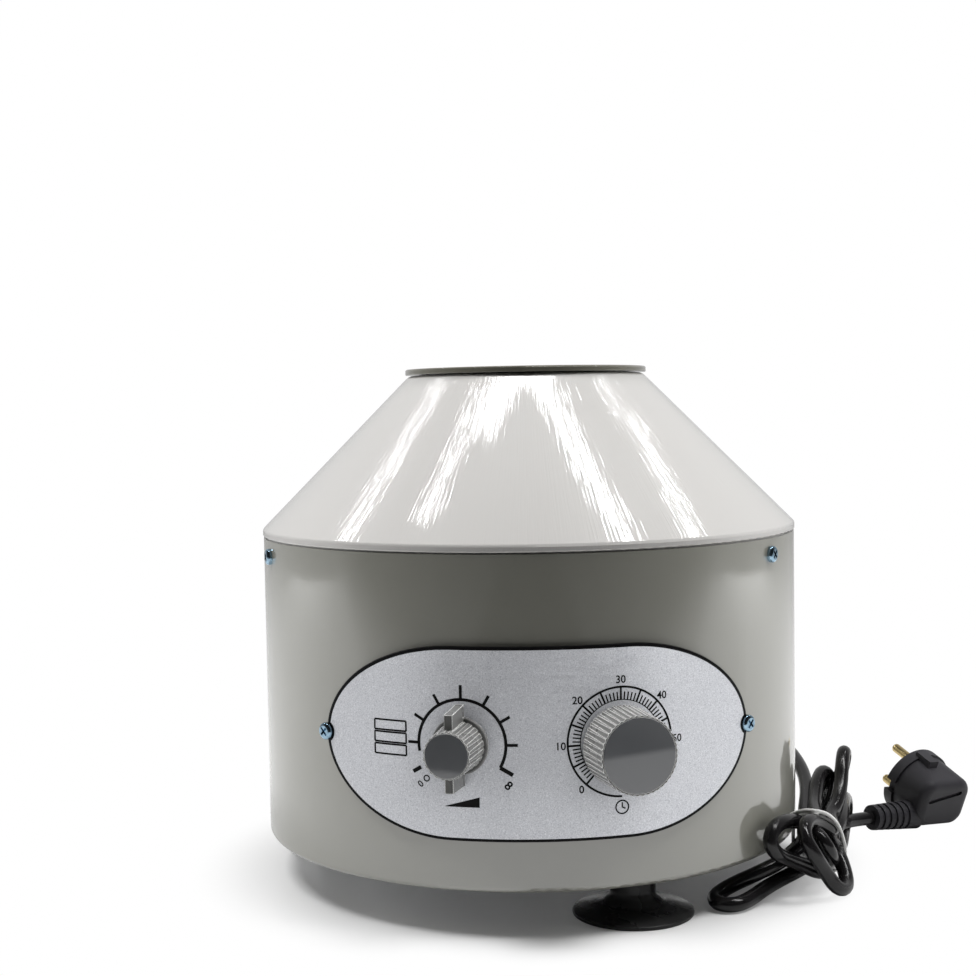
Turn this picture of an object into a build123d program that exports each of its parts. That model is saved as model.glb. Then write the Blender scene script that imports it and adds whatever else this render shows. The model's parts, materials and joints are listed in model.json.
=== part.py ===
"""Bench centrifuge with a six-tube angle rotor, a hinged lid, a speed dial and a timer dial.

The origin is on the bench, on the rotor's axis. +Z is up and the front panel faces -Y.
Angles round the casing are counted from the front, positive towards +X.
"""
from build123d import *
import os
from math import asin, cos, degrees, hypot, pi, radians, sin, sqrt, tan

os.makedirs("parts", exist_ok=True)

# ---------------------------------------------------------------- driving dimensions (mm)
# casing
body_radius = 130.0          # outside of the round casing
body_bottom = 20.0           # underside of the casing above the bench
body_height = 143.5          # straight wall of the casing
shell_wall = 1.2
shell_flange = 12.0          # width of the rim turned in at the bottom
shell_bend = 2.5             # outer radius of the bottom bend
seam_gap = 0.7               # between the casing's top edge and the cover's lip

# cone cover
cone_wall = 1.6
cone_rise = 77.0             # from the seam to the top rim
rim_radius = 57.5            # where the cone meets the top rim
rim_round = 5.0
opening_radius = 50.0
opening_round = 3.0
collar_depth = 8.0           # wall turned down inside the opening
lip_height = 3.0
lip_overhang = 0.3
lip_round = 1.8
skirt_depth = 14.0           # part of the cover inside the casing
skirt_clearance = 0.2

# screws, all alike: M4 pan head
screw_radius = 2.0
screw_length = 8.0
screw_head_radius = 3.8
screw_head_height = 2.4
screw_hole_clearance = 0.15
cross_width = 1.0
cross_length = 4.6
cross_depth = 1.3
cover_screw_angles = (57.5, -68.5, 174.5)
cover_screw_drop = 7.2       # below the seam
base_screw_angles = (80, 170, -160, -75)

# base plate
plate_thickness = 2.0
plate_gap = 0.6              # to the casing's inside bend
vent_radius = 4.0
vent_circle = 34.0
vent_count = 8

# suction feet
foot_margin = 27.5           # from the casing's radius to the feet's middle
foot_angles = {"front": 25.6, "rear": 145.6, "left": -102.5}
cup_radius = 27.0
cup_rim = 1.6                # thickness of the cup's edge
cup_hollow_radius = 22.5
cup_hollow_depth = 3.5
cup_shoulder_radius = 14.5
cup_shoulder_height = 5.2
stem_radius = 10.0
stem_foot_height = 9.0
stud_radius = 3.0
stud_depth = 9.0             # of the stud in the rubber
stud_clearance = 0.02
stud_hole_clearance = 0.2

# nuts, all alike: M6
nut_flats = 10.0
nut_height = 5.0
nut_gap = 0.03

# front panel
panel_angle = 1.75
panel_height = 63.8          # panel's centre above the casing's underside
panel_half_angle = 44.3
panel_half_height = 41.1
panel_flat = 38.0            # half of the straight top and bottom
panel_thickness = 2.2
panel_seat = 0.05
overlay_inset = 1.3
overlay_thickness = 0.3
overlay_notch = 4.8
control_spread = 14.5        # the speed dial's angle from the panel's centre
timer_spread = 14.9          # the timer dial's
timer_drop = 1.6             # of the timer's axis below the panel's centre

# dial controls
bush_radius = 4.7
bush_hole_clearance = 0.2
bush_reach = 2.6             # threaded bush beyond the panel's face
control_nut_radius = 7.0
control_nut_height = 2.0
spindle_radius = 3.0
spindle_clearance = 0.05
spindle_length = 18.0        # beyond the panel's face
speed_body_radius = 12.0
speed_body_depth = 22.0
timer_body_side = 40.0
timer_body_depth = 34.0
body_round = 1.5

# knobs
knob_gap = 1.3               # between the panel's face and a knob
speed_knob_height = 22.2
speed_skirt_radius = 12.2
speed_skirt_height = 2.0
speed_grip_base = 10.6
speed_grip_top = 9.9
speed_flutes = 20
wing_width = 3.6
wing_reach = 17.2
wing_taper = 1.0
wing_height = 18.6
speed_cap_radius = 9.2
timer_knob_height = 20.4
timer_grip_base = 17.5
timer_grip_top = 16.7
timer_flutes = 44
timer_cap_radius = 15.7
cap_thickness = 0.8
cap_proud = 0.25
flute_radius = 0.75
flute_offset = 0.45          # how far a scallop's centre stands outside the grip, in its radii
knob_floor = 3.2             # recess over the control's nut
knob_recess_radius = 9.0

# motor
isolator_height = 12.0
isolator_radius = 8.0
motor_bolt_margin = 6.5      # bolts' distance outside the can
motor_bolt_angles = (60, 180, -60)
motor_radius = 44.0
motor_wall = 1.5
motor_cap_height = 12.0
motor_foot_thickness = 3.5
motor_foot_margin = 8.5      # of the feet's edge beyond the bolts
can_length = 90.0
core_start = 25.0            # laminations above the can's lower edge
core_length = 40.0
core_gap = 0.1
bore_radius = 21.6
yoke_radius = 34.5           # inside of the ring of the field core
pole_neck = 18.0
pole_shoe = 2.4
pole_half_angle = 52.0
coil_wall = 7.0
coil_gap = 0.2
coil_inner = 24.5
coil_outer = 30.0
air_gap = 0.6
slot_count = 12
slot_width = 2.4
slot_depth = 6.0
winding_radius = 19.0
winding_length = 7.5
commutator_radius = 13.0
commutator_length = 14.0
commutator_start = 2.8       # above the can's lower edge
bar_count = 12
bar_slot = 0.8
brush_height = 10.0          # above the can's lower edge
brush_radius = 6.0
brush_start = 15.0
brush_end = 50.0
brush_width = 5.0
brush_tall = 8.0
brush_length = 12.0
brush_gap = 0.06
fan_start = 75.0
fan_radius = 38.0
fan_depth = 10.0
fan_disc = 1.5
fan_blades = 9
fan_hub = 10.0
bearing_radius = 14.0
bearing_width = 8.0
bearing_floor = 2.5
cap_vents = 6
cap_vent_radius = 3.5
cap_vent_circle = 28.0

# shaft and rotor
shaft_radius = 6.0
shaft_end_gap = 0.2
shaft_clearance = 0.04
thread_radius = 5.0
thread_length = 18.0
rotor_drop = 42.5            # rotor's floor below the cover's top rim
hub_flange_radius = 22.0
hub_flange = 5.0
hub_radius = 13.0
hub_length = 25.0
bowl_wall = 2.0
bowl_floor_radius = 24.5
bowl_bend = 3.0
bowl_slope = 45.0
bowl_slope_end = 50.5
bowl_radius = 53.5
mouth_circle = 35.5          # sleeve mouths' distance from the axis
tip_circle = 100.0           # inside ends of the sleeves, from the axis
sleeve_count = 6
first_sleeve_angle = 161.0
sleeve_bore = 9.35
sleeve_wall = 1.15
sleeve_clearance = 0.2
seat_radius = 14.2           # flat pressed round each hole of the bowl
seat_rise = 0.8              # of the flat above the sloping wall's middle line
sleeve_flange_radius = 13.0
sleeve_flange = 1.4
sleeve_collar_radius = 11.7
sleeve_collar = 2.8
ring_inner = 13.3
ring_outer = 23.0
ring_thickness = 0.5
washer_radius = 13.0
washer_thickness = 2.0
rotor_nut_flats = 16.0
rotor_nut_hex = 8.5
rotor_nut_height = 20.0
rotor_nut_radius = 7.0
nut_recess_share = 0.55      # of the nut's radius, for the dish in its crown
rotor_nut_recess = 1.2

# lid and hinge
lid_radius = 59.3
lid_thickness = 2.8
lid_gap = 0.3
lid_ring_inner = 45.8
lid_ring_outer = 47.4
lid_ring_depth = 3.0
lid_edge_round = 0.9
pin_radius = 1.5
pin_clearance = 0.05
knuckle_radius = 3.0
knuckle_gap = 0.3
knuckle_centre = 8.0         # half length of the lid's knuckle
hinge_half = 18.0
hinge_set_back = 3.7         # pin's axis beyond the lid's edge
leaf_thickness = 1.2
leaf_length = 24.0
bracket_foot = 14.0          # bracket's length down the cone
rivet_share = 0.55           # of the bracket foot's length, up to its rivets
bracket_thickness = 2.0
rivet_radius = 1.6
rivet_head = 2.8
rivet_spacing = 22.0
rivet_tail_gap = 1.8         # length of a rivet inside the cover

# speed regulator inside the casing
board_angle = -150.0
board_margin = 36.8          # from the casing's inside to the board's middle
board_width = 80.0
board_depth = 44.0
board_thickness = 1.6
board_height = 9.0
standoff_radius = 3.0
standoff_inset = 4.0
sink_width = 42.0
sink_depth = 16.0
sink_height = 24.0
sink_fins = 6
sink_slot = 4.2
sink_web = 4.0

# mains lead
gland_angle = 170.0
gland_height = 42.0          # above the casing's underside
gland_flange = 9.0
gland_neck_share = 0.85      # of the flange's radius, for the neck inside
gland_flange_thickness = 2.5
gland_root = 6.6
gland_tip = 4.5
gland_reach = 26.0
gland_inside = 8.0
gland_face = 0.1             # seat of the flange beyond the casing's radius
gland_neck = 5.9
gland_neck_clearance = 0.05
cord_radius = 3.4
arc_share = 0.45             # part of the shorter run that an arc takes up
lead_straight = 22.0         # straight out of the gland
tail_straight = 12.0         # straight into the plug's boot
hank_tie = Vector(135.2, -47.0, 17.0)
hank_half_length = 10.0
hank_clearance = 0.6         # between the hank and the casing
tie_half_width = 12.2
tie_half_height = 15.3
tie_thickness = 1.2
tie_clearance = 0.05

# plug; its own directions: x towards the cable, y up, z towards the pins
plug_radius = 18.7
plug_rim_depth = 6.0
plug_neck_radius = 17.3      # of the grip where it starts behind the rim
plug_neck_flat = 0.6
plug_depth = 27.0
plug_back_width = 32.0
plug_back_height = 25.0
plug_back_corner = 6.0
plug_back_shift = 1.0
plug_back_lift = 1.2
plug_back_round = 4.5
plug_groove_length = 22.0
plug_groove_width = 2.2
plug_groove_depth = 1.2
plug_groove_shift = 2.0
plug_groove_lift = 5.6
plug_groove_turn = -12.0
plug_notch_width = 6.0
plug_notch_depth = 3.6
plug_lug_width = 6.0
plug_lug_height = 1.6
plug_lug_length = 11.0
plug_lug_shift = 3.6
plug_pin_radius = 2.4
plug_pin_length = 19.0
plug_pin_spacing = 19.0
boot_start = 12.0
boot_drop = -8.2
boot_level = -19.0
boot_length = 29.0
boot_root_radius = 7.6
boot_tip_radius = 6.4
boot_ribs = 5

# ---------------------------------------------------------------- heights and places from the above
seam_height = body_bottom + body_height
body_inside = body_radius - shell_wall
plate_bottom = body_bottom + shell_wall
plate_top = plate_bottom + plate_thickness
plate_radius = body_radius - shell_bend - plate_gap
panel_centre_height = body_bottom + panel_height
panel_back = body_radius + panel_seat
panel_front = panel_back + panel_thickness
panel_face = panel_front + overlay_thickness
panel_half_width = panel_front * sin(radians(panel_half_angle))
speed_angle = panel_angle - control_spread
timer_angle = panel_angle + timer_spread
timer_level = panel_centre_height - timer_drop
controls = ((speed_angle, panel_centre_height), (timer_angle, timer_level))
cover_base = seam_height + seam_gap
cone_top = seam_height + cone_rise
cone_foot = cover_base + lip_height
lip_radius = body_radius + lip_overhang
foot_circle = body_radius - foot_margin
motor_base = plate_top + isolator_height
motor_bolt_circle = motor_radius + motor_bolt_margin
motor_foot_radius = motor_bolt_circle + motor_foot_margin
can_bottom = motor_base + motor_cap_height
can_top = can_bottom + can_length
core_bottom = can_bottom + core_start
core_top = core_bottom + core_length
rotor_floor = cone_top - rotor_drop
hub_top = rotor_floor - bowl_wall
slope = radians(bowl_slope)
mouth_height = rotor_floor + (mouth_circle - bowl_floor_radius) * tan(slope)
sleeve_depth = (tip_circle - mouth_circle) / sin(slope)
lid_bottom = cone_top + lid_gap
lid_top = lid_bottom + lid_thickness
pin_y = lid_radius + hinge_set_back
pin_z = lid_top + leaf_thickness - knuckle_radius


# ---------------------------------------------------------------- helpers
def wall_plane(angle, radius, height):
    """Plane facing out of the casing: local x to the right, local y up, z away from the axis."""
    turn_angle = radians(angle)
    outward = Vector(sin(turn_angle), -cos(turn_angle), 0)
    origin = outward * radius + Vector(0, 0, height)
    return Plane(origin, x_dir=(cos(turn_angle), sin(turn_angle), 0), z_dir=outward)


def floor_plane(angle, radius, height):
    """Level plane at a place counted round the axis, with local y pointing away from the axis."""
    turn_angle = radians(angle)
    origin = (radius * sin(turn_angle), -radius * cos(turn_angle), height)
    return Plane(origin, x_dir=(-cos(turn_angle), -sin(turn_angle), 0), z_dir=(0, 0, 1))


def turn(plane, outline, rounds=0, mode=Mode.ADD):
    """Turn a closed outline of (radius, height) points about the plane's own z axis."""
    with BuildSketch(Plane(plane.origin, x_dir=plane.x_dir, z_dir=-plane.y_dir)) as profile:
        with BuildLine():
            FilletPolyline(*outline, radius=rounds, close=True)
        make_face()
    revolve(profile.sketch, axis=Axis(plane.origin, plane.z_dir), mode=mode)


def tube(plane, inner, outer, start, end, mode=Mode.ADD):
    """A plain ring or disc about the plane's z axis, from one height to another."""
    turn(plane, [(inner, start), (outer, start), (outer, end), (inner, end)], mode=mode)


def pan_screw(plane):
    """Pan-head screw with a cross recess. The plane lies under its head."""
    head = [
        (0, -screw_length),
        (screw_radius, -screw_length),
        (screw_radius, 0),
        (screw_head_radius, 0),
        (screw_head_radius, screw_head_height),
        (0, screw_head_height),
    ]
    turn(plane, head, rounds=[0, 0.4, 0, 0, 1.4, 0])
    with BuildSketch(plane.offset(screw_head_height)) as cross:
        Rectangle(cross_length, cross_width, rotation=45)
        Rectangle(cross_length, cross_width, rotation=-45)
    extrude(cross.sketch, amount=-cross_depth, mode=Mode.SUBTRACT)


def hex_nut(plane):
    """M6 nut standing on the plane."""
    with BuildSketch(plane) as hexagon:
        RegularPolygon(nut_flats / 2, 6, major_radius=False)
        Circle(stud_radius + nut_gap, mode=Mode.SUBTRACT)
    extrude(hexagon.sketch, amount=nut_height)


def curved_plate(inner, outer, inset, notch):
    """Panel shape bent round the casing: straight top and bottom, half-ellipse ends, screw notches."""
    half_width = panel_half_width - inset
    half_height = panel_half_height - inset
    end_width = half_width - panel_flat
    with BuildSketch(wall_plane(panel_angle, 0, panel_centre_height)) as outline:
        with BuildLine():
            Line((panel_flat, -half_height), (-panel_flat, -half_height))
            EllipticalCenterArc((-panel_flat, 0), end_width, half_height, 90, arc_size=180)
            Line((-panel_flat, half_height), (panel_flat, half_height))
            EllipticalCenterArc((panel_flat, 0), end_width, half_height, -90, arc_size=180)
        make_face()
    extrude(outline.sketch, amount=outer + panel_thickness)
    with BuildSketch(Plane.XY.offset(panel_centre_height)) as layer:
        Circle(outer)
        Circle(inner, mode=Mode.SUBTRACT)
    extrude(layer.sketch, amount=panel_half_height * 2, both=True, mode=Mode.INTERSECT)
    for side in (-1, 1):
        tip_plane = wall_plane(panel_angle + side * panel_half_angle, outer, panel_centre_height)
        tube(tip_plane, 0, notch, -panel_thickness * 3, panel_thickness * 3, Mode.SUBTRACT)


def control_holes(radius, reach, mode=Mode.SUBTRACT):
    """Round holes on the two dial axes, from the motor side out through the casing's wall."""
    for angle, level in controls:
        tube(wall_plane(angle, body_radius, level), 0, radius, -reach, reach, mode)


def grip(plane, base, top, height, flutes):
    """Tapered grip with scallops down its side."""
    with BuildSketch(plane) as scalloped:
        Circle(base)
        with PolarLocations(base + flute_radius * flute_offset, flutes):
            Circle(flute_radius, mode=Mode.SUBTRACT)
    extrude(scalloped.sketch, amount=height, taper=degrees(asin((base - top) / height)))


# ---------------------------------------------------------------- casing
with BuildPart() as housing_shell:
    with BuildSketch(Plane.XZ):
        with BuildLine():
            FilletPolyline(
                (body_radius - shell_flange, body_bottom),
                (body_radius, body_bottom),
                (body_radius, seam_height),
                radius=shell_bend,
            )
            offset(amount=shell_wall, side=Side.LEFT)
        make_face()
    revolve(axis=Axis.Z)
    screw_hole = screw_radius + screw_hole_clearance
    for screw_angle in cover_screw_angles:
        screw_plane = wall_plane(screw_angle, body_radius, seam_height - cover_screw_drop)
        tube(screw_plane, 0, screw_hole, -screw_length, screw_length, Mode.SUBTRACT)
    for side in (-1, 1):
        screw_plane = wall_plane(panel_angle + side * panel_half_angle, body_radius, panel_centre_height)
        tube(screw_plane, 0, screw_hole, -screw_length, screw_length, Mode.SUBTRACT)
    for screw_angle in base_screw_angles:
        screw_plane = floor_plane(screw_angle, body_radius - shell_flange / 2, body_bottom)
        tube(screw_plane, 0, screw_hole, -shell_wall, shell_wall * 2, Mode.SUBTRACT)
    control_holes(bush_radius + bush_hole_clearance, shell_wall * 4)
    gland_plane = wall_plane(gland_angle, body_radius, body_bottom + gland_height)
    tube(gland_plane, 0, gland_neck + gland_neck_clearance, -shell_wall * 4, shell_wall * 4, Mode.SUBTRACT)

housing_shell.part.label = "housing_shell"
export_step(housing_shell.part, "parts/housing_shell.step")

# the cover's outside: skirt, lip, cone, rim, collar; its inside follows one wall's thickness in
skirt_radius = body_inside - skirt_clearance
cone_run = lip_radius - rim_radius
cone_climb = cone_top - cone_foot
cone_side = hypot(cone_run, cone_climb)
inset_drop = cone_wall * cone_side / cone_run          # wall's thickness measured straight down
inner_rim_height = cone_top - cone_wall
inner_rim_radius = rim_radius - (inset_drop - cone_wall) * cone_run / cone_climb
inner_skirt_radius = skirt_radius - cone_wall
inner_skirt_height = cone_foot + (lip_radius - inner_skirt_radius) * cone_climb / cone_run - inset_drop
cover_outline = [
    (skirt_radius, seam_height - skirt_depth),
    (skirt_radius, cover_base),
    (lip_radius, cover_base),
    (lip_radius, cone_foot),
    (rim_radius, cone_top),
    (opening_radius, cone_top),
    (opening_radius, cone_top - collar_depth),
    (opening_radius + cone_wall, cone_top - collar_depth),
    (opening_radius + cone_wall, inner_rim_height),
    (inner_rim_radius, inner_rim_height),
    (inner_skirt_radius, inner_skirt_height),
    (inner_skirt_radius, seam_height - skirt_depth),
]
collar_edge = cone_wall * 0.45
cover_rounds = [0, 0, 0.6, lip_round, rim_round, opening_round, collar_edge, collar_edge, 0, 0, 0, 0]

# the hinge bracket's seat: a plane touching the cone at the back, local y down the slope
seat_y = rim_radius + rim_round
seat_z = cone_top - rim_round * cone_climb / cone_run
slope_out = (0, cone_climb / cone_side, cone_run / cone_side)
seat_plane = Plane((0, seat_y, seat_z), x_dir=(1, 0, 0), z_dir=slope_out)
rivet_places = [(side * rivet_spacing / 2, bracket_foot * rivet_share) for side in (-1, 1)]


def rivet_holes():
    with BuildSketch(seat_plane.offset(bracket_thickness * 2)) as holes:
        with Locations(*rivet_places):
            Circle(rivet_radius + stud_clearance)
    extrude(holes.sketch, amount=-bracket_thickness * 4, mode=Mode.SUBTRACT)


with BuildPart() as cone_cover:
    turn(Plane.XY, cover_outline, cover_rounds)
    rivet_holes()
    for screw_angle in cover_screw_angles:
        screw_plane = wall_plane(screw_angle, body_radius, seam_height - cover_screw_drop)
        tube(screw_plane, 0, screw_radius + stud_clearance, -screw_length, screw_length, Mode.SUBTRACT)

cone_cover.part.label = "cone_cover"
export_step(cone_cover.part, "parts/cone_cover.step")

with BuildPart() as base_plate:
    tube(Plane.XY, 0, plate_radius, plate_bottom, plate_top)
    for screw_angle in base_screw_angles:
        screw_plane = floor_plane(screw_angle, body_radius - shell_flange / 2, plate_bottom)
        tube(screw_plane, 0, screw_radius + stud_clearance, 0, plate_thickness, Mode.SUBTRACT)
    for foot_angle in foot_angles.values():
        stud_plane = floor_plane(foot_angle, foot_circle, plate_bottom)
        tube(stud_plane, 0, stud_radius + stud_hole_clearance, 0, plate_thickness, Mode.SUBTRACT)
    for bolt_angle in motor_bolt_angles:
        bolt_plane = floor_plane(bolt_angle, motor_bolt_circle, plate_bottom)
        tube(bolt_plane, 0, stud_radius + stud_hole_clearance, 0, plate_thickness, Mode.SUBTRACT)
    with BuildSketch(Plane.XY.offset(plate_bottom)):
        with PolarLocations(vent_circle, vent_count):
            Circle(vent_radius)
    extrude(amount=plate_thickness, mode=Mode.SUBTRACT)

base_plate.part.label = "base_plate"
export_step(base_plate.part, "parts/base_plate.step")

with BuildPart() as casing_screws:
    for screw_angle in cover_screw_angles:
        pan_screw(wall_plane(screw_angle, body_radius, seam_height - cover_screw_drop))
    for side in (-1, 1):
        pan_screw(wall_plane(panel_angle + side * panel_half_angle, panel_front, panel_centre_height))
    for screw_angle in base_screw_angles:
        under_flange = floor_plane(screw_angle, body_radius - shell_flange / 2, body_bottom)
        pan_screw(Plane(under_flange.origin, x_dir=under_flange.x_dir, z_dir=(0, 0, -1)))

casing_screws.part.label = "casing_screws"
export_step(casing_screws.part, "parts/casing_screws.step")

# ---------------------------------------------------------------- suction feet
foot_top = plate_bottom
cup_outline = [
    (0, cup_hollow_depth),
    (cup_hollow_radius * 0.5, cup_hollow_depth),
    (cup_hollow_radius, 0),
    (cup_radius, 0),
    (cup_radius, cup_rim),
    (cup_shoulder_radius, cup_shoulder_height),
    (stem_radius, stem_foot_height),
    (stem_radius, foot_top),
    (stud_radius + stud_clearance, foot_top),
    (stud_radius + stud_clearance, foot_top - stud_depth),
    (0, foot_top - stud_depth),
]
cup_rounds = [0, 9, 0, 0.5, 0.7, 6, 4, 0.8, 0, 0, 0]

for foot_name, foot_angle in foot_angles.items():
    with BuildPart() as suction_foot:
        turn(floor_plane(foot_angle, foot_circle, 0), cup_outline, cup_rounds)

    suction_foot.part.label = f"foot_{foot_name}"
    export_step(suction_foot.part, f"parts/foot_{foot_name}.step")

stud_top = plate_top + nut_height + stud_hole_clearance * 5
with BuildPart() as foot_studs:
    for foot_angle in foot_angles.values():
        stud_plane = floor_plane(foot_angle, foot_circle, 0)
        tube(stud_plane, 0, stud_radius, foot_top - stud_depth, stud_top)

foot_studs.part.label = "foot_studs"
export_step(foot_studs.part, "parts/foot_studs.step")

motor_foot_top = motor_base + motor_foot_thickness
with BuildPart() as hex_nuts:
    for foot_angle in foot_angles.values():
        hex_nut(floor_plane(foot_angle, foot_circle, plate_top))
    for bolt_angle in motor_bolt_angles:
        hex_nut(floor_plane(bolt_angle, motor_bolt_circle, motor_foot_top))

hex_nuts.part.label = "hex_nuts"
export_step(hex_nuts.part, "parts/hex_nuts.step")

# ---------------------------------------------------------------- front panel
with BuildPart() as front_panel:
    curved_plate(panel_back, panel_front, 0, screw_radius + screw_hole_clearance)
    control_holes(bush_radius + bush_hole_clearance, panel_thickness * 3)

front_panel.part.label = "front_panel"
export_step(front_panel.part, "parts/front_panel.step")

with BuildPart() as panel_overlay:
    curved_plate(panel_front, panel_face, overlay_inset, overlay_notch)
    control_holes(bush_radius + bush_hole_clearance, panel_thickness * 3)

panel_overlay.part.label = "panel_overlay"
export_step(panel_overlay.part, "parts/panel_overlay.step")


# ---------------------------------------------------------------- controls behind the panel
def body_seat(half_width):
    """How far from the axis a flat body of that half width touches the casing's inside."""
    return sqrt(body_inside**2 - half_width**2) - panel_seat


def bush(plane, seat):
    """Threaded bush from a control's body out through the panel, bored for the spindle."""
    outer_end = panel_face + bush_reach - seat
    tube(plane, 0, bush_radius, 0, outer_end)


def spindle_bore(plane, seat, depth):
    bore_end = panel_face + bush_reach - seat
    tube(plane, 0, spindle_radius + spindle_clearance, -depth / 2, bore_end, Mode.SUBTRACT)


speed_seat = body_seat(speed_body_radius)
speed_plane = wall_plane(speed_angle, speed_seat, panel_centre_height)
with BuildPart() as speed_control:
    turn(
        speed_plane,
        [(0, -speed_body_depth), (speed_body_radius, -speed_body_depth), (speed_body_radius, 0), (0, 0)],
        [0, body_round, body_round, 0],
    )
    bush(speed_plane, speed_seat)
    spindle_bore(speed_plane, speed_seat, speed_body_depth)

speed_control.part.label = "speed_control"
export_step(speed_control.part, "parts/speed_control.step")

timer_seat = body_seat(timer_body_side / 2)
timer_plane = wall_plane(timer_angle, timer_seat, timer_level)
with BuildPart() as timer_body:
    with BuildSketch(timer_plane):
        RectangleRounded(timer_body_side, timer_body_side, body_round * 2)
    extrude(amount=-timer_body_depth)
    bush(timer_plane, timer_seat)
    spindle_bore(timer_plane, timer_seat, timer_body_depth)

timer_body.part.label = "timer_body"
export_step(timer_body.part, "parts/timer_body.step")

with BuildPart() as control_nuts:
    for control_angle, control_level in controls:
        nut_plane = wall_plane(control_angle, panel_face, control_level)
        with BuildSketch(nut_plane):
            RegularPolygon(control_nut_radius, 6)
            Circle(bush_radius + nut_gap, mode=Mode.SUBTRACT)
        extrude(amount=control_nut_height)

control_nuts.part.label = "control_nuts"
export_step(control_nuts.part, "parts/control_nuts.step")


# ---------------------------------------------------------------- spindles and knobs
def spindle(plane, seat, depth):
    """Round spindle from inside the control out into its knob."""
    inner_end = spindle_clearance - depth / 2
    tube(plane, 0, spindle_radius, inner_end, panel_face + spindle_length - seat)


def knob_bore(plane, height):
    """Recess over the control's nut and blind hole for the spindle, seen from the knob's back."""
    tube(plane, 0, knob_recess_radius, 0, knob_floor, Mode.SUBTRACT)
    bore_depth = spindle_length - knob_gap + spindle_clearance
    tube(plane, 0, spindle_radius + stud_clearance, 0, bore_depth, Mode.SUBTRACT)


with BuildPart() as speed_spindle:
    spindle(speed_plane, speed_seat, speed_body_depth)

speed_spindle.part.label = "speed_spindle"
export_step(speed_spindle.part, "parts/speed_spindle.step")

with BuildPart() as timer_spindle:
    spindle(timer_plane, timer_seat, timer_body_depth)

timer_spindle.part.label = "timer_spindle"
export_step(timer_spindle.part, "parts/timer_spindle.step")

knob_seat = panel_face + knob_gap
speed_knob_plane = wall_plane(speed_angle, knob_seat, panel_centre_height)
with BuildPart() as speed_knob:
    grip(speed_knob_plane, speed_grip_base, speed_grip_top, speed_knob_height, speed_flutes)
    turn(
        speed_knob_plane,
        [(0, 0), (speed_skirt_radius, 0), (speed_skirt_radius, speed_skirt_height), (0, speed_skirt_height)],
        [0, 0, speed_skirt_height / 3, 0],
    )
    with BuildSketch(speed_knob_plane):
        Rectangle(wing_width, wing_reach * 2)
    with BuildSketch(speed_knob_plane.offset(wing_height)):
        Rectangle(wing_width, (wing_reach - wing_taper) * 2)
    loft()
    knob_bore(speed_knob_plane, speed_knob_height)
    tube(
        speed_knob_plane,
        0,
        speed_cap_radius,
        speed_knob_height - cap_thickness,
        speed_knob_height,
        Mode.SUBTRACT,
    )

speed_knob.part.label = "speed_knob"
export_step(speed_knob.part, "parts/speed_knob.step")

timer_knob_plane = wall_plane(timer_angle, knob_seat, timer_level)
with BuildPart() as timer_knob:
    grip(timer_knob_plane, timer_grip_base, timer_grip_top, timer_knob_height, timer_flutes)
    knob_bore(timer_knob_plane, timer_knob_height)
    tube(
        timer_knob_plane,
        0,
        timer_cap_radius,
        timer_knob_height - cap_thickness,
        timer_knob_height,
        Mode.SUBTRACT,
    )

timer_knob.part.label = "timer_knob"
export_step(timer_knob.part, "parts/timer_knob.step")


def knob_cap(plane, radius, height):
    """Disc let into a knob's front, standing a little proud."""
    disc = [
        (0, height - cap_thickness),
        (radius - stud_clearance, height - cap_thickness),
        (radius - stud_clearance, height + cap_proud),
        (0, height + cap_proud),
    ]
    turn(plane, disc, [0, 0, cap_proud, 0])


with BuildPart() as speed_knob_cap:
    knob_cap(speed_knob_plane, speed_cap_radius, speed_knob_height)

speed_knob_cap.part.label = "speed_knob_cap"
export_step(speed_knob_cap.part, "parts/speed_knob_cap.step")

with BuildPart() as timer_knob_cap:
    knob_cap(timer_knob_plane, timer_cap_radius, timer_knob_height)

timer_knob_cap.part.label = "timer_knob_cap"
export_step(timer_knob_cap.part, "parts/timer_knob_cap.step")

# ---------------------------------------------------------------- motor, standing on the base plate
with BuildPart() as motor_isolators:
    for bolt_angle in motor_bolt_angles:
        bolt_plane = floor_plane(bolt_angle, motor_bolt_circle, plate_top)
        waist = isolator_radius * 0.8
        turn(
            bolt_plane,
            [
                (stud_radius + stud_clearance, 0),
                (isolator_radius, 0),
                (isolator_radius, isolator_height * 0.25),
                (waist, isolator_height * 0.5),
                (isolator_radius, isolator_height * 0.75),
                (isolator_radius, isolator_height),
                (stud_radius + stud_clearance, isolator_height),
            ],
            [0, 0.5, 1, 1.5, 1, 0.5, 0],
        )

motor_isolators.part.label = "motor_isolators"
export_step(motor_isolators.part, "parts/motor_isolators.step")

bolt_head_height = nut_height * 0.7
with BuildPart() as motor_bolts:
    for bolt_angle in motor_bolt_angles:
        bolt_plane = floor_plane(bolt_angle, motor_bolt_circle, 0)
        with BuildSketch(bolt_plane.offset(plate_bottom - bolt_head_height)):
            RegularPolygon(nut_flats / 2, 6, major_radius=False)
        extrude(amount=bolt_head_height)
        tube(bolt_plane, 0, stud_radius, plate_bottom, motor_foot_top + nut_height + 1)

motor_bolts.part.label = "motor_bolts"
export_step(motor_bolts.part, "parts/motor_bolts.step")

# end caps: cups that close the can, each with a seat for a bearing
cap_wall = motor_foot_thickness
lower_seat = motor_base + bearing_floor
upper_seat = can_top + motor_cap_height - bearing_floor - bearing_width
bearing_hole = bearing_radius + stud_clearance
boss_radius = bearing_radius + bearing_floor

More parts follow.
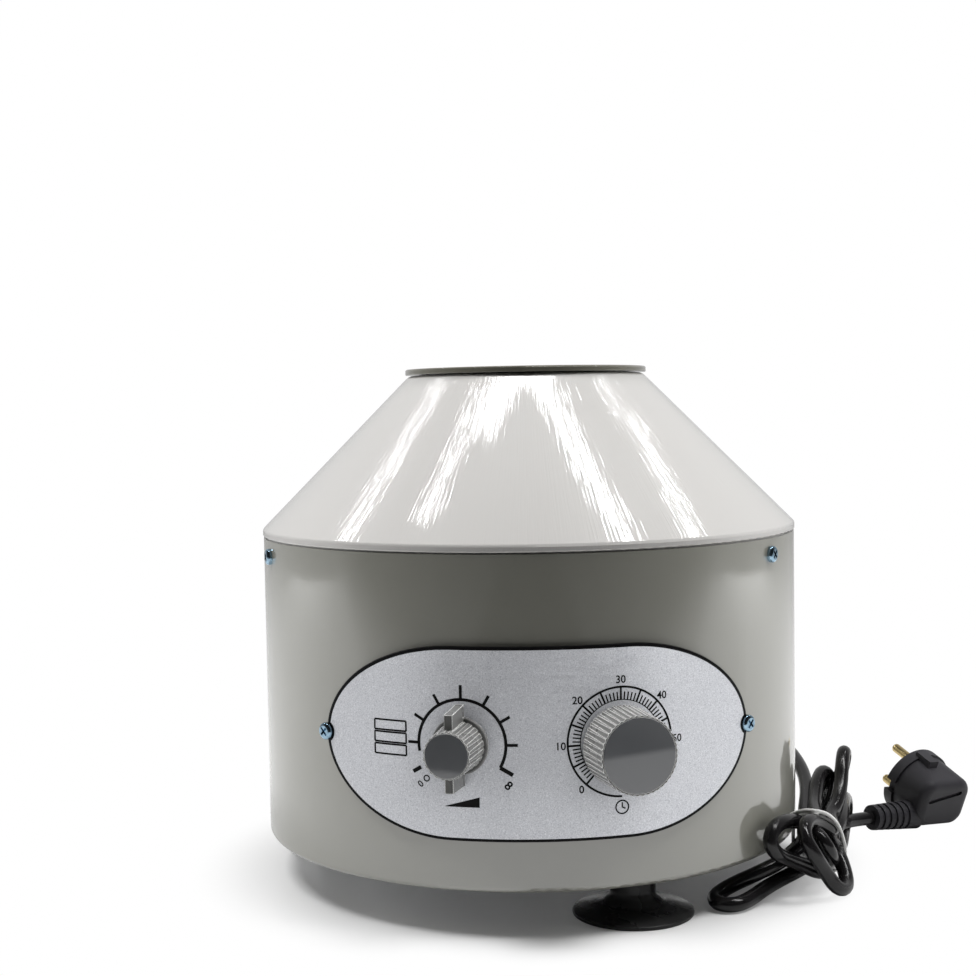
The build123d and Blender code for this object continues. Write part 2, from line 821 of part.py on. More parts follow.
with BuildPart() as motor_bottom_cap:
    turn(
        Plane.XY,
        [
            (0, motor_base),
            (motor_foot_radius, motor_base),
            (motor_foot_radius, motor_foot_top),
            (motor_radius, motor_foot_top),
            (motor_radius, can_bottom),
            (motor_radius - motor_wall, can_bottom),
            (motor_radius - motor_wall, motor_foot_top),
            (boss_radius, motor_foot_top),
            (boss_radius, lower_seat + bearing_width),
            (bearing_hole, lower_seat + bearing_width),
            (bearing_hole, lower_seat),
            (0, lower_seat),
        ],
        [0, 0.8, 0.8, 0.4, 0, 0, 0, 1, 0, 0, 0, 0],
    )
    for bolt_angle in motor_bolt_angles:
        bolt_plane = floor_plane(bolt_angle, motor_bolt_circle, motor_base)
        tube(bolt_plane, 0, stud_radius + stud_hole_clearance, 0, motor_foot_thickness, Mode.SUBTRACT)
    with BuildSketch(Plane.XY.offset(motor_base)):
        with PolarLocations(cap_vent_circle, cap_vents):
            Circle(cap_vent_radius)
    extrude(amount=cap_wall, mode=Mode.SUBTRACT)

motor_bottom_cap.part.label = "motor_bottom_cap"
export_step(motor_bottom_cap.part, "parts/motor_bottom_cap.step")

cap_top = can_top + motor_cap_height
cap_roof = cap_top - cap_wall
with BuildPart() as motor_top_cap:
    turn(
        Plane.XY,
        [
            (shaft_radius + bearing_floor, cap_top),
            (motor_radius - cap_wall, cap_top),
            (motor_radius, cap_roof - cap_wall),
            (motor_radius, can_top),
            (motor_radius - motor_wall, can_top),
            (motor_radius - motor_wall, cap_roof - cap_wall),
            (motor_radius - cap_wall * 2, cap_roof),
            (boss_radius, cap_roof),
            (boss_radius, upper_seat),
            (bearing_hole, upper_seat),
            (bearing_hole, upper_seat + bearing_width),
            (shaft_radius + bearing_floor, upper_seat + bearing_width),
        ],
        [0, 2, 2, 0, 0, 0, 0, 0, 0, 0, 0, 0],
    )
    with BuildSketch(Plane.XY.offset(cap_top)):
        with PolarLocations(cap_vent_circle, cap_vents):
            Circle(cap_vent_radius)
    extrude(amount=-cap_wall, mode=Mode.SUBTRACT)

motor_top_cap.part.label = "motor_top_cap"
export_step(motor_top_cap.part, "parts/motor_top_cap.step")

brush_level = can_bottom + brush_height
brush_planes = [wall_plane(angle, 0, brush_level) for angle in (0, 180)]
with BuildPart() as motor_can:
    tube(Plane.XY, motor_radius - motor_wall, motor_radius, can_bottom, can_top)
    for brush_plane in brush_planes:
        tube(brush_plane, 0, brush_radius + stud_clearance, brush_start, brush_end, Mode.SUBTRACT)

motor_can.part.label = "motor_can"
export_step(motor_can.part, "parts/motor_can.step")

with BuildPart() as brush_holders:
    for brush_plane in brush_planes:
        tube(brush_plane, 0, brush_radius, brush_start, brush_end)
        with BuildSketch(brush_plane.offset(brush_start)):
            Rectangle(brush_width + brush_gap * 2, brush_tall + brush_gap * 2)
        extrude(amount=brush_length * 2, mode=Mode.SUBTRACT)

brush_holders.part.label = "brush_holders"
export_step(brush_holders.part, "parts/brush_holders.step")

with BuildPart() as carbon_brushes:
    for brush_plane in brush_planes:
        with BuildSketch(brush_plane.offset(commutator_radius)):
            Rectangle(brush_width, brush_tall)
        extrude(amount=brush_length)
    tube(Plane.XY, 0, commutator_radius + brush_gap, can_bottom, core_bottom, Mode.SUBTRACT)

carbon_brushes.part.label = "carbon_brushes"
export_step(carbon_brushes.part, "parts/carbon_brushes.step")

core_radius = motor_radius - motor_wall - core_gap
with BuildPart() as field_core:
    with BuildSketch(Plane.XY.offset(core_bottom)):
        Circle(core_radius)
        Circle(yoke_radius, mode=Mode.SUBTRACT)
        Rectangle(yoke_radius * 2 + core_gap * 2, pole_neck)
        for pole in (0, 180):
            shoe_reach = bore_radius + pole_shoe
            with BuildLine():
                start = pole - pole_half_angle
                CenterArc((0, 0), shoe_reach, start, pole_half_angle * 2)
                CenterArc((0, 0), bore_radius * 0.9, start, pole_half_angle * 2)
                for end in (start, start + pole_half_angle * 2):
                    along = Vector(cos(radians(end)), sin(radians(end)))
                    Line(along * bore_radius * 0.9, along * shoe_reach)
            make_face()
        Circle(bore_radius, mode=Mode.SUBTRACT)
    extrude(amount=core_length)

field_core.part.label = "field_core"
export_step(field_core.part, "parts/field_core.step")

window_width = pole_neck + coil_gap * 2
window_height = core_length + coil_gap * 2
core_middle = core_bottom + core_length / 2
with BuildPart() as field_coils:
    for side in (90, -90):
        with BuildSketch(wall_plane(side, coil_inner, core_middle)):
            RectangleRounded(window_width + coil_wall * 2, window_height + coil_wall * 2, coil_wall * 0.8)
            Rectangle(window_width, window_height, mode=Mode.SUBTRACT)
        extrude(amount=coil_outer - coil_inner)

field_coils.part.label = "field_coils"
export_step(field_coils.part, "parts/field_coils.step")

with BuildPart() as motor_bearings:
    for seat in (lower_seat, upper_seat):
        race = bearing_width * 0.12
        turn(
            Plane.XY,
            [
                (shaft_radius + shaft_clearance, seat),
                (shaft_radius + 3, seat),
                (shaft_radius + 3, seat + race),
                (bearing_radius - 2, seat + race),
                (bearing_radius - 2, seat),
                (bearing_radius, seat),
                (bearing_radius, seat + bearing_width),
                (bearing_radius - 2, seat + bearing_width),
                (bearing_radius - 2, seat + bearing_width - race),
                (shaft_radius + 3, seat + bearing_width - race),
                (shaft_radius + 3, seat + bearing_width),
                (shaft_radius + shaft_clearance, seat + bearing_width),
            ],
        )

motor_bearings.part.label = "motor_bearings"
export_step(motor_bearings.part, "parts/motor_bearings.step")

# ---------------------------------------------------------------- motor's turning parts
with BuildPart() as motor_shaft:
    shaft_start = lower_seat + shaft_end_gap
    turn(
        Plane.XY,
        [
            (0, shaft_start),
            (shaft_radius, shaft_start),
            (shaft_radius, hub_top),
            (thread_radius, hub_top),
            (thread_radius, hub_top + thread_length),
            (0, hub_top + thread_length),
        ],
        [0, 0.5, 0.3, 0, 0.6, 0],
    )

motor_shaft.part.label = "motor_shaft"
export_step(motor_shaft.part, "parts/motor_shaft.step")

armature_radius = bore_radius - air_gap
with BuildPart() as armature:
    tube(Plane.XY, shaft_radius + stud_clearance, armature_radius, core_bottom, core_top)
    with BuildSketch(Plane.XY.offset(core_bottom)):
        with PolarLocations(armature_radius, slot_count):
            SlotCenterToCenter(slot_depth, slot_width)
    extrude(amount=core_length, mode=Mode.SUBTRACT)
    for start in (core_bottom - winding_length, core_top):
        turn(
            Plane.XY,
            [
                (shaft_radius + stud_clearance, start),
                (winding_radius, start),
                (winding_radius, start + winding_length),
                (shaft_radius + stud_clearance, start + winding_length),
            ],
            [0, 2.5, 2.5, 0],
        )

armature.part.label = "armature"
export_step(armature.part, "parts/armature.step")

commutator_bottom = can_bottom + commutator_start
with BuildPart() as commutator:
    tube(
        Plane.XY,
        shaft_radius + stud_clearance,
        commutator_radius,
        commutator_bottom,
        commutator_bottom + commutator_length,
    )
    with BuildSketch(Plane.XY.offset(commutator_bottom)):
        with PolarLocations(commutator_radius, bar_count):
            Rectangle(bar_slot * 2, bar_slot)
    extrude(amount=commutator_length, mode=Mode.SUBTRACT)

commutator.part.label = "commutator"
export_step(commutator.part, "parts/commutator.step")

fan_bottom = can_bottom + fan_start
with BuildPart() as cooling_fan:
    tube(Plane.XY, shaft_radius + stud_clearance, fan_hub, fan_bottom, fan_bottom + fan_depth)
    tube(Plane.XY, shaft_radius + stud_clearance, fan_radius, fan_bottom, fan_bottom + fan_disc)
    with BuildSketch(Plane.XY.offset(fan_bottom)):
        with PolarLocations((fan_hub + fan_radius) / 2, fan_blades):
            Rectangle(fan_radius - fan_hub + fan_disc, fan_disc)
        Circle(fan_radius - fan_disc, mode=Mode.INTERSECT)
        Circle(shaft_radius + fan_disc, mode=Mode.SUBTRACT)
    extrude(amount=fan_depth)

cooling_fan.part.label = "cooling_fan"
export_step(cooling_fan.part, "parts/cooling_fan.step")

# ---------------------------------------------------------------- rotor
with BuildPart() as rotor_hub:
    turn(
        Plane.XY,
        [
            (shaft_radius + stud_clearance, hub_top - hub_length),
            (hub_radius, hub_top - hub_length),
            (hub_radius, hub_top - hub_flange),
            (hub_flange_radius, hub_top - hub_flange),
            (hub_flange_radius, hub_top),
            (shaft_radius + stud_clearance, hub_top),
        ],
        [0, 1, 2, 0.8, 0, 0],
    )

rotor_hub.part.label = "rotor_hub"
export_step(rotor_hub.part, "parts/rotor_hub.step")


def sleeve_plane(number):
    """Mouth of one sleeve: on the bowl's sloping wall, local z out of the mouth."""
    angle = first_sleeve_angle - number * 360 / sleeve_count
    level = floor_plane(angle, mouth_circle, mouth_height)
    out_of_mouth = Vector(0, 0, cos(slope)) - level.y_dir * sin(slope)
    return Plane(level.origin, x_dir=level.x_dir, z_dir=out_of_mouth).offset(seat_rise)


slope_top = rotor_floor + (bowl_slope_end - bowl_floor_radius) * tan(slope)
with BuildPart() as rotor_bowl:
    with BuildSketch(Plane.XZ):
        with BuildLine():
            FilletPolyline(
                (thread_radius + nut_gap, rotor_floor),
                (bowl_floor_radius, rotor_floor),
                (bowl_slope_end, slope_top),
                (bowl_radius, slope_top),
                radius=[bowl_bend, bowl_bend],
            )
            offset(amount=bowl_wall, side=Side.RIGHT)
        make_face()
    revolve(axis=Axis.Z)
    for number in range(sleeve_count):
        hole = sleeve_bore + sleeve_wall + sleeve_clearance
        tube(sleeve_plane(number), 0, seat_radius, -bowl_wall - seat_rise, 0)
        tube(sleeve_plane(number), 0, seat_radius, 0, bowl_wall * 3, Mode.SUBTRACT)
        tube(sleeve_plane(number), 0, hole, -bowl_wall * 3, bowl_wall, Mode.SUBTRACT)

rotor_bowl.part.label = "rotor_bowl"
export_step(rotor_bowl.part, "parts/rotor_bowl.step")

with BuildPart() as number_ring:
    tube(Plane.XY, ring_inner, ring_outer, rotor_floor, rotor_floor + ring_thickness)

number_ring.part.label = "number_ring"
export_step(number_ring.part, "parts/number_ring.step")

washer_top = rotor_floor + washer_thickness
with BuildPart() as rotor_washer:
    turn(
        Plane.XY,
        [
            (thread_radius + nut_gap, rotor_floor),
            (washer_radius, rotor_floor),
            (washer_radius, washer_top),
            (thread_radius + nut_gap, washer_top),
        ],
        [0, 0, 0.5, 0],
    )

rotor_washer.part.label = "rotor_washer"
export_step(rotor_washer.part, "parts/rotor_washer.step")

with BuildPart() as cap_nut:
    with BuildSketch(Plane.XY.offset(washer_top)):
        RegularPolygon(rotor_nut_flats / 2, 6, major_radius=False, rotation=30)
    extrude(amount=rotor_nut_hex)
    corner = rotor_nut_flats / sqrt(3)
    bevel = corner * 0.12
    turn(
        Plane.XY,
        [
            (0, washer_top),
            (corner - bevel, washer_top),
            (corner, washer_top + bevel),
            (corner, washer_top + rotor_nut_hex - bevel),
            (corner - bevel * 1.7, washer_top + rotor_nut_hex),
            (0, washer_top + rotor_nut_hex),
        ],
        mode=Mode.INTERSECT,
    )
    crown = washer_top + rotor_nut_height
    turn(
        Plane.XY,
        [
            (0, washer_top + rotor_nut_hex),
            (rotor_nut_radius, washer_top + rotor_nut_hex),
            (rotor_nut_radius, crown),
            (rotor_nut_radius * 0.62, crown),
            (rotor_nut_radius * nut_recess_share, crown - rotor_nut_recess),
            (0, crown - rotor_nut_recess),
        ],
        [0, 0, 1.8, 0.4, 0.4, 0],
    )
    nut_bore_top = hub_top + thread_length + nut_gap
    tube(Plane.XY, 0, thread_radius + nut_gap, washer_top, nut_bore_top, Mode.SUBTRACT)

cap_nut.part.label = "cap_nut"
export_step(cap_nut.part, "parts/cap_nut.step")

sleeve_radius = sleeve_bore + sleeve_wall
sleeve_outline = [
    (0, -sleeve_depth - sleeve_wall),
    (sleeve_radius, -sleeve_depth - sleeve_wall),
    (sleeve_radius, 0),
    (sleeve_flange_radius, 0),
    (sleeve_flange_radius, sleeve_flange),
    (sleeve_collar_radius, sleeve_flange),
    (sleeve_collar_radius, sleeve_collar),
    (sleeve_bore, sleeve_collar),
    (sleeve_bore, -sleeve_depth),
    (0, -sleeve_depth),
]
sleeve_rounds = [0, sleeve_radius * 0.9, 0, 0.3, 0.6, 0, 0.6, 0.4, sleeve_bore * 0.9, 0]
for number in range(sleeve_count):
    with BuildPart() as tube_sleeve:
        turn(sleeve_plane(number), sleeve_outline, sleeve_rounds)

    tube_sleeve.part.label = f"tube_sleeve_{number + 1}"
    export_step(tube_sleeve.part, f"parts/tube_sleeve_{number + 1}.step")

# ---------------------------------------------------------------- lid and its hinge
with BuildPart() as lid:
    turn(
        Plane.XY,
        [
            (0, lid_bottom),
            (lid_ring_inner, lid_bottom),
            (lid_ring_inner, lid_bottom - lid_ring_depth),
            (lid_ring_outer, lid_bottom - lid_ring_depth),
            (lid_ring_outer, lid_bottom),
            (lid_radius, lid_bottom),
            (lid_radius, lid_top),
            (0, lid_top),
        ],
        [0, 0, 0.4, 0.4, 0, lid_edge_round / 2, lid_edge_round, 0],
    )

lid.part.label = "lid"
export_step(lid.part, "parts/lid.step")

hinge_side = Plane((0, pin_y, pin_z), x_dir=(0, 1, 0), z_dir=(1, 0, 0))
knuckle_hole = pin_radius + pin_clearance
with BuildPart() as lid_leaf:
    with BuildSketch(Plane((0, pin_y, lid_top), x_dir=(1, 0, 0), z_dir=(0, 0, 1))):
        with Locations((0, -leaf_length / 2)):
            RectangleRounded(knuckle_centre * 2, leaf_length, knuckle_gap)
    extrude(amount=leaf_thickness)
    with BuildSketch(hinge_side):
        Circle(knuckle_radius)
    extrude(amount=knuckle_centre, both=True)
    with BuildSketch(hinge_side):
        Circle(knuckle_hole)
    extrude(amount=knuckle_centre, both=True, mode=Mode.SUBTRACT)

lid_leaf.part.label = "lid_leaf"
export_step(lid_leaf.part, "parts/lid_leaf.step")

with BuildPart() as hinge_pin:
    with BuildSketch(hinge_side):
        Circle(pin_radius)
    extrude(amount=hinge_half + knuckle_gap, both=True)

hinge_pin.part.label = "hinge_pin"
export_step(hinge_pin.part, "parts/hinge_pin.step")

# the cone's outer surface as a solid, to shape the bracket's seat
with BuildPart(mode=Mode.PRIVATE) as cone_form:
    turn(
        Plane.XY,
        [(0, cone_foot), (lip_radius, cone_foot), (rim_radius, cone_top), (0, cone_top)],
        [0, 0, rim_round, 0],
    )

with BuildPart() as hinge_bracket:
    with BuildSketch(seat_plane.offset(-knuckle_radius)):
        with Locations((0, bracket_foot / 2)):
            RectangleRounded(hinge_half * 2, bracket_foot, bracket_thickness)
    extrude(amount=knuckle_radius + bracket_thickness)
    with BuildSketch(hinge_side):
        Circle(knuckle_radius)
        with BuildLine():
            Polyline(
                (-knuckle_radius, 0),
                (knuckle_radius, 0),
                (knuckle_radius, -knuckle_radius * 4),
                (-knuckle_radius, -knuckle_radius * 4),
                close=True,
            )
        make_face()
    extrude(amount=hinge_half, both=True)
    add(cone_form.part, mode=Mode.SUBTRACT)
    with BuildSketch(hinge_side):
        Circle(knuckle_radius + knuckle_gap)
    extrude(amount=knuckle_centre + knuckle_gap, both=True, mode=Mode.SUBTRACT)
    with BuildSketch(hinge_side):
        Circle(knuckle_hole)
    extrude(amount=hinge_half, both=True, mode=Mode.SUBTRACT)
    rivet_holes()

hinge_bracket.part.label = "hinge_bracket"
export_step(hinge_bracket.part, "parts/hinge_bracket.step")

rivet_inner_end = -cone_wall - rivet_tail_gap
with BuildPart() as bracket_rivets:
    for place in rivet_places:
        place_plane = Plane(seat_plane.from_local_coords(Vector(*place, 0)), x_dir=(1, 0, 0), z_dir=slope_out)
        turn(
            place_plane,
            [
                (0, rivet_inner_end),
                (rivet_radius, rivet_inner_end),
                (rivet_radius, bracket_thickness),
                (rivet_head, bracket_thickness),
                (rivet_head * 0.75, bracket_thickness + rivet_head * 0.5),
                (0, bracket_thickness + rivet_head * 0.6),
            ],
            [0, 0.4, 0, 0, 0.6, 0],
        )

bracket_rivets.part.label = "bracket_rivets"
export_step(bracket_rivets.part, "parts/bracket_rivets.step")

# ---------------------------------------------------------------- speed regulator inside the casing
board_bottom = plate_top + board_height
board_centre = body_inside - board_margin
board_plane = floor_plane(board_angle, board_centre, board_bottom)
board_corners = (board_width - standoff_inset * 2, board_depth - standoff_inset * 2)
with BuildPart() as regulator_board:
    with BuildSketch(board_plane):
        RectangleRounded(board_width, board_depth, board_thickness)
        with GridLocations(*board_corners, 2, 2):
            Circle(rivet_radius, mode=Mode.SUBTRACT)
    extrude(amount=board_thickness)

regulator_board.part.label = "regulator_board"
export_step(regulator_board.part, "parts/regulator_board.step")

with BuildPart() as board_standoffs:
    with BuildSketch(board_plane.offset(-board_height)):
        with GridLocations(*board_corners, 2, 2):
            RegularPolygon(standoff_radius, 6)
    extrude(amount=board_height)

board_standoffs.part.label = "board_standoffs"
export_step(board_standoffs.part, "parts/board_standoffs.step")

with BuildPart() as heat_sink:
    with BuildSketch(board_plane.offset(board_thickness)):
        Rectangle(sink_width, sink_depth)
        with Locations((0, sink_web / 2)):
            with GridLocations(sink_width / sink_fins, 0, sink_fins, 1):
                Rectangle(sink_slot, sink_depth - sink_web, mode=Mode.SUBTRACT)
    extrude(amount=sink_height)

heat_sink.part.label = "heat_sink"
export_step(heat_sink.part, "parts/heat_sink.step")

# ---------------------------------------------------------------- mains lead
with BuildPart() as cord_gland:
    neck_end = -shell_wall * 1.5
    turn(
        gland_plane,
        [
            (0, -gland_inside),
            (gland_flange * gland_neck_share, -gland_inside),
            (gland_flange * gland_neck_share, neck_end),
            (gland_neck, neck_end),
            (gland_neck, gland_face),
            (gland_flange, gland_face),
            (gland_flange, gland_face + gland_flange_thickness),
            (gland_root, gland_face + gland_flange_thickness),
            (gland_tip, gland_reach),
            (0, gland_reach),
        ],
        [0, 1, 0, 0, 0, 0.6, 0.8, 1.2, 0.8, 0],
    )

cord_gland.part.label = "cord_gland"
export_step(cord_gland.part, "parts/cord_gland.step")


def bend_radii(points):
    """Radius of the arc at each inner point of a route: as large as its two runs allow."""
    corners = [Vector(*point) for point in points]
    radii = []
    for before, here, after in zip(corners, corners[1:], corners[2:]):
        turned = radians((here - before).get_angle(after - here))
        shorter = min((here - before).length, (after - here).length)
        radii.append(arc_share * shorter / tan(turned / 2))
    return radii


def cord_tube(name, points):
    """Round cord along straight runs joined by arcs."""
    radii = bend_radii(points)
    with BuildLine() as route:
        FilletPolyline(*points, radius=radii)
    path = route.wires()[0]
    with BuildSketch(Plane(origin=path @ 0, z_dir=path % 0)) as section:
        Circle(cord_radius)
    sweep(section.sketch, path=path)
    print(name, "length", round(path.length, 1), "radii", [round(radius, 1) for radius in radii])
    print(name, "section times length", round(pi * cord_radius**2 * path.length))


# from the gland round the back of the casing to the tied hank at its right
gland_end = gland_plane.offset(gland_reach).origin
lead_route = [
    tuple(gland_end),
    tuple(gland_plane.offset(gland_reach + lead_straight).origin),
    (43.2, 193.5, 58.5),
    (62.1, 204.8, 52.5),
    (84.0, 205.6, 48.0),
    (105.5, 196.0, 46.0),
    (122.0, 177.0, 45.0),
    (132.0, 151.5, 44.5),
    (137.0, 121.5, 44.3),
    (136.0, 90.0, 44.6),
    (131.5, 58.0, 45.2),
    (137.0, 27.0, 41.0),
    (138.0, 0.0, 34.0),
    (130.5, -31.0, 26.0),
    (129.5, -44.0, 23.6),
]
with BuildPart() as cord_lead:
    cord_tube("cord_lead", lead_route)

cord_lead.part.label = "cord_lead"
export_step(cord_lead.part, "parts/cord_lead.step")

plug_face = Vector(204.4, 61.6, 20.6)
to_cable = Vector(-0.8685, -0.4911, 0.0667)
to_pins = Vector(-0.4438, 0.8305, 0.3366)
plug_plane = Plane(plug_face, x_dir=to_cable, z_dir=to_pins)
boot_root = Vector(boot_start, boot_drop, boot_level)
boot_plane = Plane(plug_plane.from_local_coords(boot_root), x_dir=plug_plane.y_dir, z_dir=plug_plane.x_dir)
boot_end = boot_plane.offset(boot_length).origin

# from the hank to the plug
tail_route = [
    (136.5, -38.0, 20.6),
    (141.5, -19.0, 17.4),
    (147.5, -1.5, 13.4),
    (155.5, 13.0, 11.0),
    tuple(boot_plane.offset(boot_length + tail_straight).origin),
    tuple(boot_end),
]
with BuildPart() as cord_tail:
    cord_tube("cord_tail", tail_route)

cord_tail.part.label = "cord_tail"
export_step(cord_tail.part, "parts/cord_tail.step")


def flat_loop(*corners):
    """A closed slab as thick as the cord, filling one loop of the hank."""
    first, second, third = (Vector(*corner) for corner in corners[:3])
    along = second - first
    plane = Plane(first, x_dir=along, z_dir=along.cross(third - first))
    with BuildSketch(plane) as outline:
        with BuildLine():
            Polyline(*[tuple(plane.to_local_coords(Vector(*corner)))[:2] for corner in corners], close=True)
        make_face()
        offset(amount=cord_radius)
    extrude(outline.sketch, amount=cord_radius, both=True)


# the hank: a tied bundle with five loops standing out of it
with BuildPart() as cord_hank:
    with BuildSketch(Plane(hank_tie, x_dir=(1, 0, 0), z_dir=(0, 1, 0))):
        Ellipse(tie_half_width - tie_clearance, tie_half_height - tie_clearance)
    extrude(amount=hank_half_length, both=True)
    # low loop at the front, lying out to the left
    flat_loop((127.0, -56.0, 20.0), (86.0, -82.0, 7.5), (86.5, -90.0, 4.2), (127.0, -60.0, 9.0))
    # loop leaning on the casing
    flat_loop((130.0, -59.0, 30.0), (108.5, -79.0, 34.0), (109.5, -80.0, 27.5), (131.0, -63.0, 8.0))
    # front loop down to the bench
    flat_loop(
        (137.0, -60.0, 33.0), (124.0, -78.0, 34.0), (136.5, -75.0, 5.5),
        (141.5, -66.0, 5.0), (141.0, -56.0, 17.0),
    )
    # two loops standing up at the back
    flat_loop(
        (132.0, -40.0, 12.0), (150.5, -1.0, 26.0), (150.5, 3.0, 35.5),
        (143.5, -3.0, 36.0), (134.5, -38.0, 27.0),
    )
    flat_loop(
        (137.0, -40.0, 8.0), (155.5, -1.0, 24.0), (157.5, 6.0, 46.0),
        (154.5, 0.0, 48.0), (141.0, -38.0, 26.0),
    )
    # low loop at the back
    flat_loop(
        (141.0, -41.0, 20.0), (157.0, 2.0, 25.0), (160.5, 17.0, 12.0),
        (157.5, 8.0, 5.0), (141.0, -41.0, 8.0),
    )
    tube(Plane.XY, 0, body_radius + hank_clearance, body_bottom - hank_clearance, seam_height, Mode.SUBTRACT)
    tube(Plane.XY, 0, body_radius * 2, -cord_radius * 4, 0, Mode.SUBTRACT)

cord_hank.part.label = "cord_hank"
export_step(cord_hank.part, "parts/cord_hank.step")

with BuildPart() as cord_tie:
    with BuildSketch(Plane(hank_tie, x_dir=(1, 0, 0), z_dir=(0, 1, 0))):
        Ellipse(tie_half_width + tie_thickness, tie_half_height + tie_thickness)
        Ellipse(tie_half_width, tie_half_height, mode=Mode.SUBTRACT)
    extrude(amount=tie_thickness / 2, both=True)

cord_tie.part.label = "cord_tie"
export_step(cord_tie.part, "parts/cord_tie.step")

# ---------------------------------------------------------------- plug
with BuildPart() as plug_body:
    with BuildSketch(plug_plane):
        Circle(plug_radius)
        with GridLocations(plug_radius * 2, 0, 2, 1):
            Rectangle(plug_notch_depth * 2, plug_notch_width, mode=Mode.SUBTRACT)
    extrude(amount=-plug_rim_depth)
    with BuildSketch(plug_plane.offset(-plug_rim_depth)):
        neck_side = plug_neck_radius * 2
        RectangleRounded(neck_side, neck_side, plug_neck_radius - plug_neck_flat)
    with BuildSketch(plug_plane.offset(-plug_depth)):
        with Locations((plug_back_shift, plug_back_lift)):
            RectangleRounded(plug_back_width, plug_back_height, plug_back_corner)
    loft()
    fillet(plug_body.faces().sort_by(Axis(plug_plane.origin, plug_plane.z_dir))[0].edges(), plug_back_round)
    with BuildSketch(plug_plane.offset(-plug_depth)):
        with Locations((plug_groove_shift, plug_groove_lift)):
            SlotOverall(plug_groove_length, plug_groove_width, rotation=plug_groove_turn)
    extrude(amount=plug_groove_depth, mode=Mode.SUBTRACT)
    with BuildSketch(plug_plane.offset(-plug_rim_depth * 0.5)):
        with Locations((plug_lug_shift, plug_radius - plug_lug_height)):
            Rectangle(plug_lug_width, plug_lug_height * 3)
    extrude(amount=-plug_lug_length)
    groove = boot_tip_radius * 0.13
    rib = boot_length / (boot_ribs * 2)
    boot_outline = [(0, 0), (boot_root_radius, 0)]
    for index in range(boot_ribs):
        start = boot_length * 0.3 + index * rib * 1.4
        radius = boot_root_radius + (boot_tip_radius - boot_root_radius) * start / boot_length
        boot_outline += [(radius, start), (radius - groove, start)]
        boot_outline += [(radius - groove, start + rib * 0.6), (radius, start + rib * 0.6)]
    boot_outline += [(boot_tip_radius, boot_length), (0, boot_length)]
    turn(boot_plane, boot_outline)

plug_body.part.label = "plug_body"
export_step(plug_body.part, "parts/plug_body.step")

with BuildPart() as plug_pins:
    for side in (-1, 1):
        pin_origin = plug_plane.from_local_coords(Vector(0, side * plug_pin_spacing / 2, 0))
        pin_plane = Plane(pin_origin, x_dir=plug_plane.x_dir, z_dir=plug_plane.z_dir)
        turn(
            pin_plane,
            [(0, 0), (plug_pin_radius, 0), (plug_pin_radius, plug_pin_length), (0, plug_pin_length)],
            [0, 0, plug_pin_radius * 0.8, 0],
        )

plug_pins.part.label = "plug_pins"
export_step(plug_pins.part, "parts/plug_pins.step")
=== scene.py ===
"""Looks of the bench centrifuge: camera, materials, mains lead, dial print and studio.

Everything is in metres in the frame of the CAD model: the origin is on the bench, on the rotor's
axis, and the front panel faces -Y. Places written in millimetres go through point(), and other
sizes written in millimetres are multiplied by MM.
"""
import json
from math import cos, pi, radians, sin

import bmesh
import bpy
from mathutils import Matrix, Vector


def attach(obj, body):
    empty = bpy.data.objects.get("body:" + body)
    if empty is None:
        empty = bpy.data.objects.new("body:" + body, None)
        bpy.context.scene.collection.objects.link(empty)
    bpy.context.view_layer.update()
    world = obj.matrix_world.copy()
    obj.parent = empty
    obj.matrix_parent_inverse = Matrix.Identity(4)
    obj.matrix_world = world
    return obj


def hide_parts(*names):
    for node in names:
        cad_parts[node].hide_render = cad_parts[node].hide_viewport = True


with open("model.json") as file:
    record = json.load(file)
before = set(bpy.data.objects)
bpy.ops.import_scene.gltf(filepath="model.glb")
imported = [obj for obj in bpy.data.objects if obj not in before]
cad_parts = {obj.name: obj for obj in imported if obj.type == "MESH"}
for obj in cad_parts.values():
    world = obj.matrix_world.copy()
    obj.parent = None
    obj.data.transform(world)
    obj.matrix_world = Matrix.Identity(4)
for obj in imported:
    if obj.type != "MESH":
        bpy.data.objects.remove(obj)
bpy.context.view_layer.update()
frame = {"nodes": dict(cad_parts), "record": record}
nodes = frame["nodes"]
scene = bpy.context.scene
MM = 0.001


def point(x, y, z):
    """A place given in millimetres."""
    return Vector((x, y, z)) * MM


# ---------------------------------------------------------------- camera
# The photograph's camera, found by fitting its view of the casing.
CAMERA_PLACE = point(0, -790.7, 226.4)
CAMERA_YAW = radians(-1.405)
CAMERA_PITCH = radians(3.031)
CAMERA_ROLL = radians(-0.965)
CAMERA_LENS = 58.78
SENSOR_WIDTH = 36
CLIP_START, CLIP_END = 0.01, 100


def camera_turn():
    """The camera's axes. It looks along its own -Z."""
    level_cos = cos(CAMERA_PITCH)
    ahead = Vector((sin(CAMERA_YAW) * level_cos, cos(CAMERA_YAW) * level_cos, -sin(CAMERA_PITCH)))
    level = Vector((cos(CAMERA_YAW), -sin(CAMERA_YAW), 0))
    above = level.cross(ahead)
    right = level * cos(CAMERA_ROLL) + above * sin(CAMERA_ROLL)
    upward = above * cos(CAMERA_ROLL) - level * sin(CAMERA_ROLL)
    return Matrix((right, upward, -ahead)).transposed().to_4x4()


camera = bpy.data.objects.new("camera", bpy.data.cameras.new("camera"))
camera.matrix_world = Matrix.Translation(CAMERA_PLACE) @ camera_turn()
camera.data.lens = CAMERA_LENS
camera.data.sensor_width = SENSOR_WIDTH
camera.data.clip_start = CLIP_START
camera.data.clip_end = CLIP_END
scene.collection.objects.link(camera)
scene.camera = camera


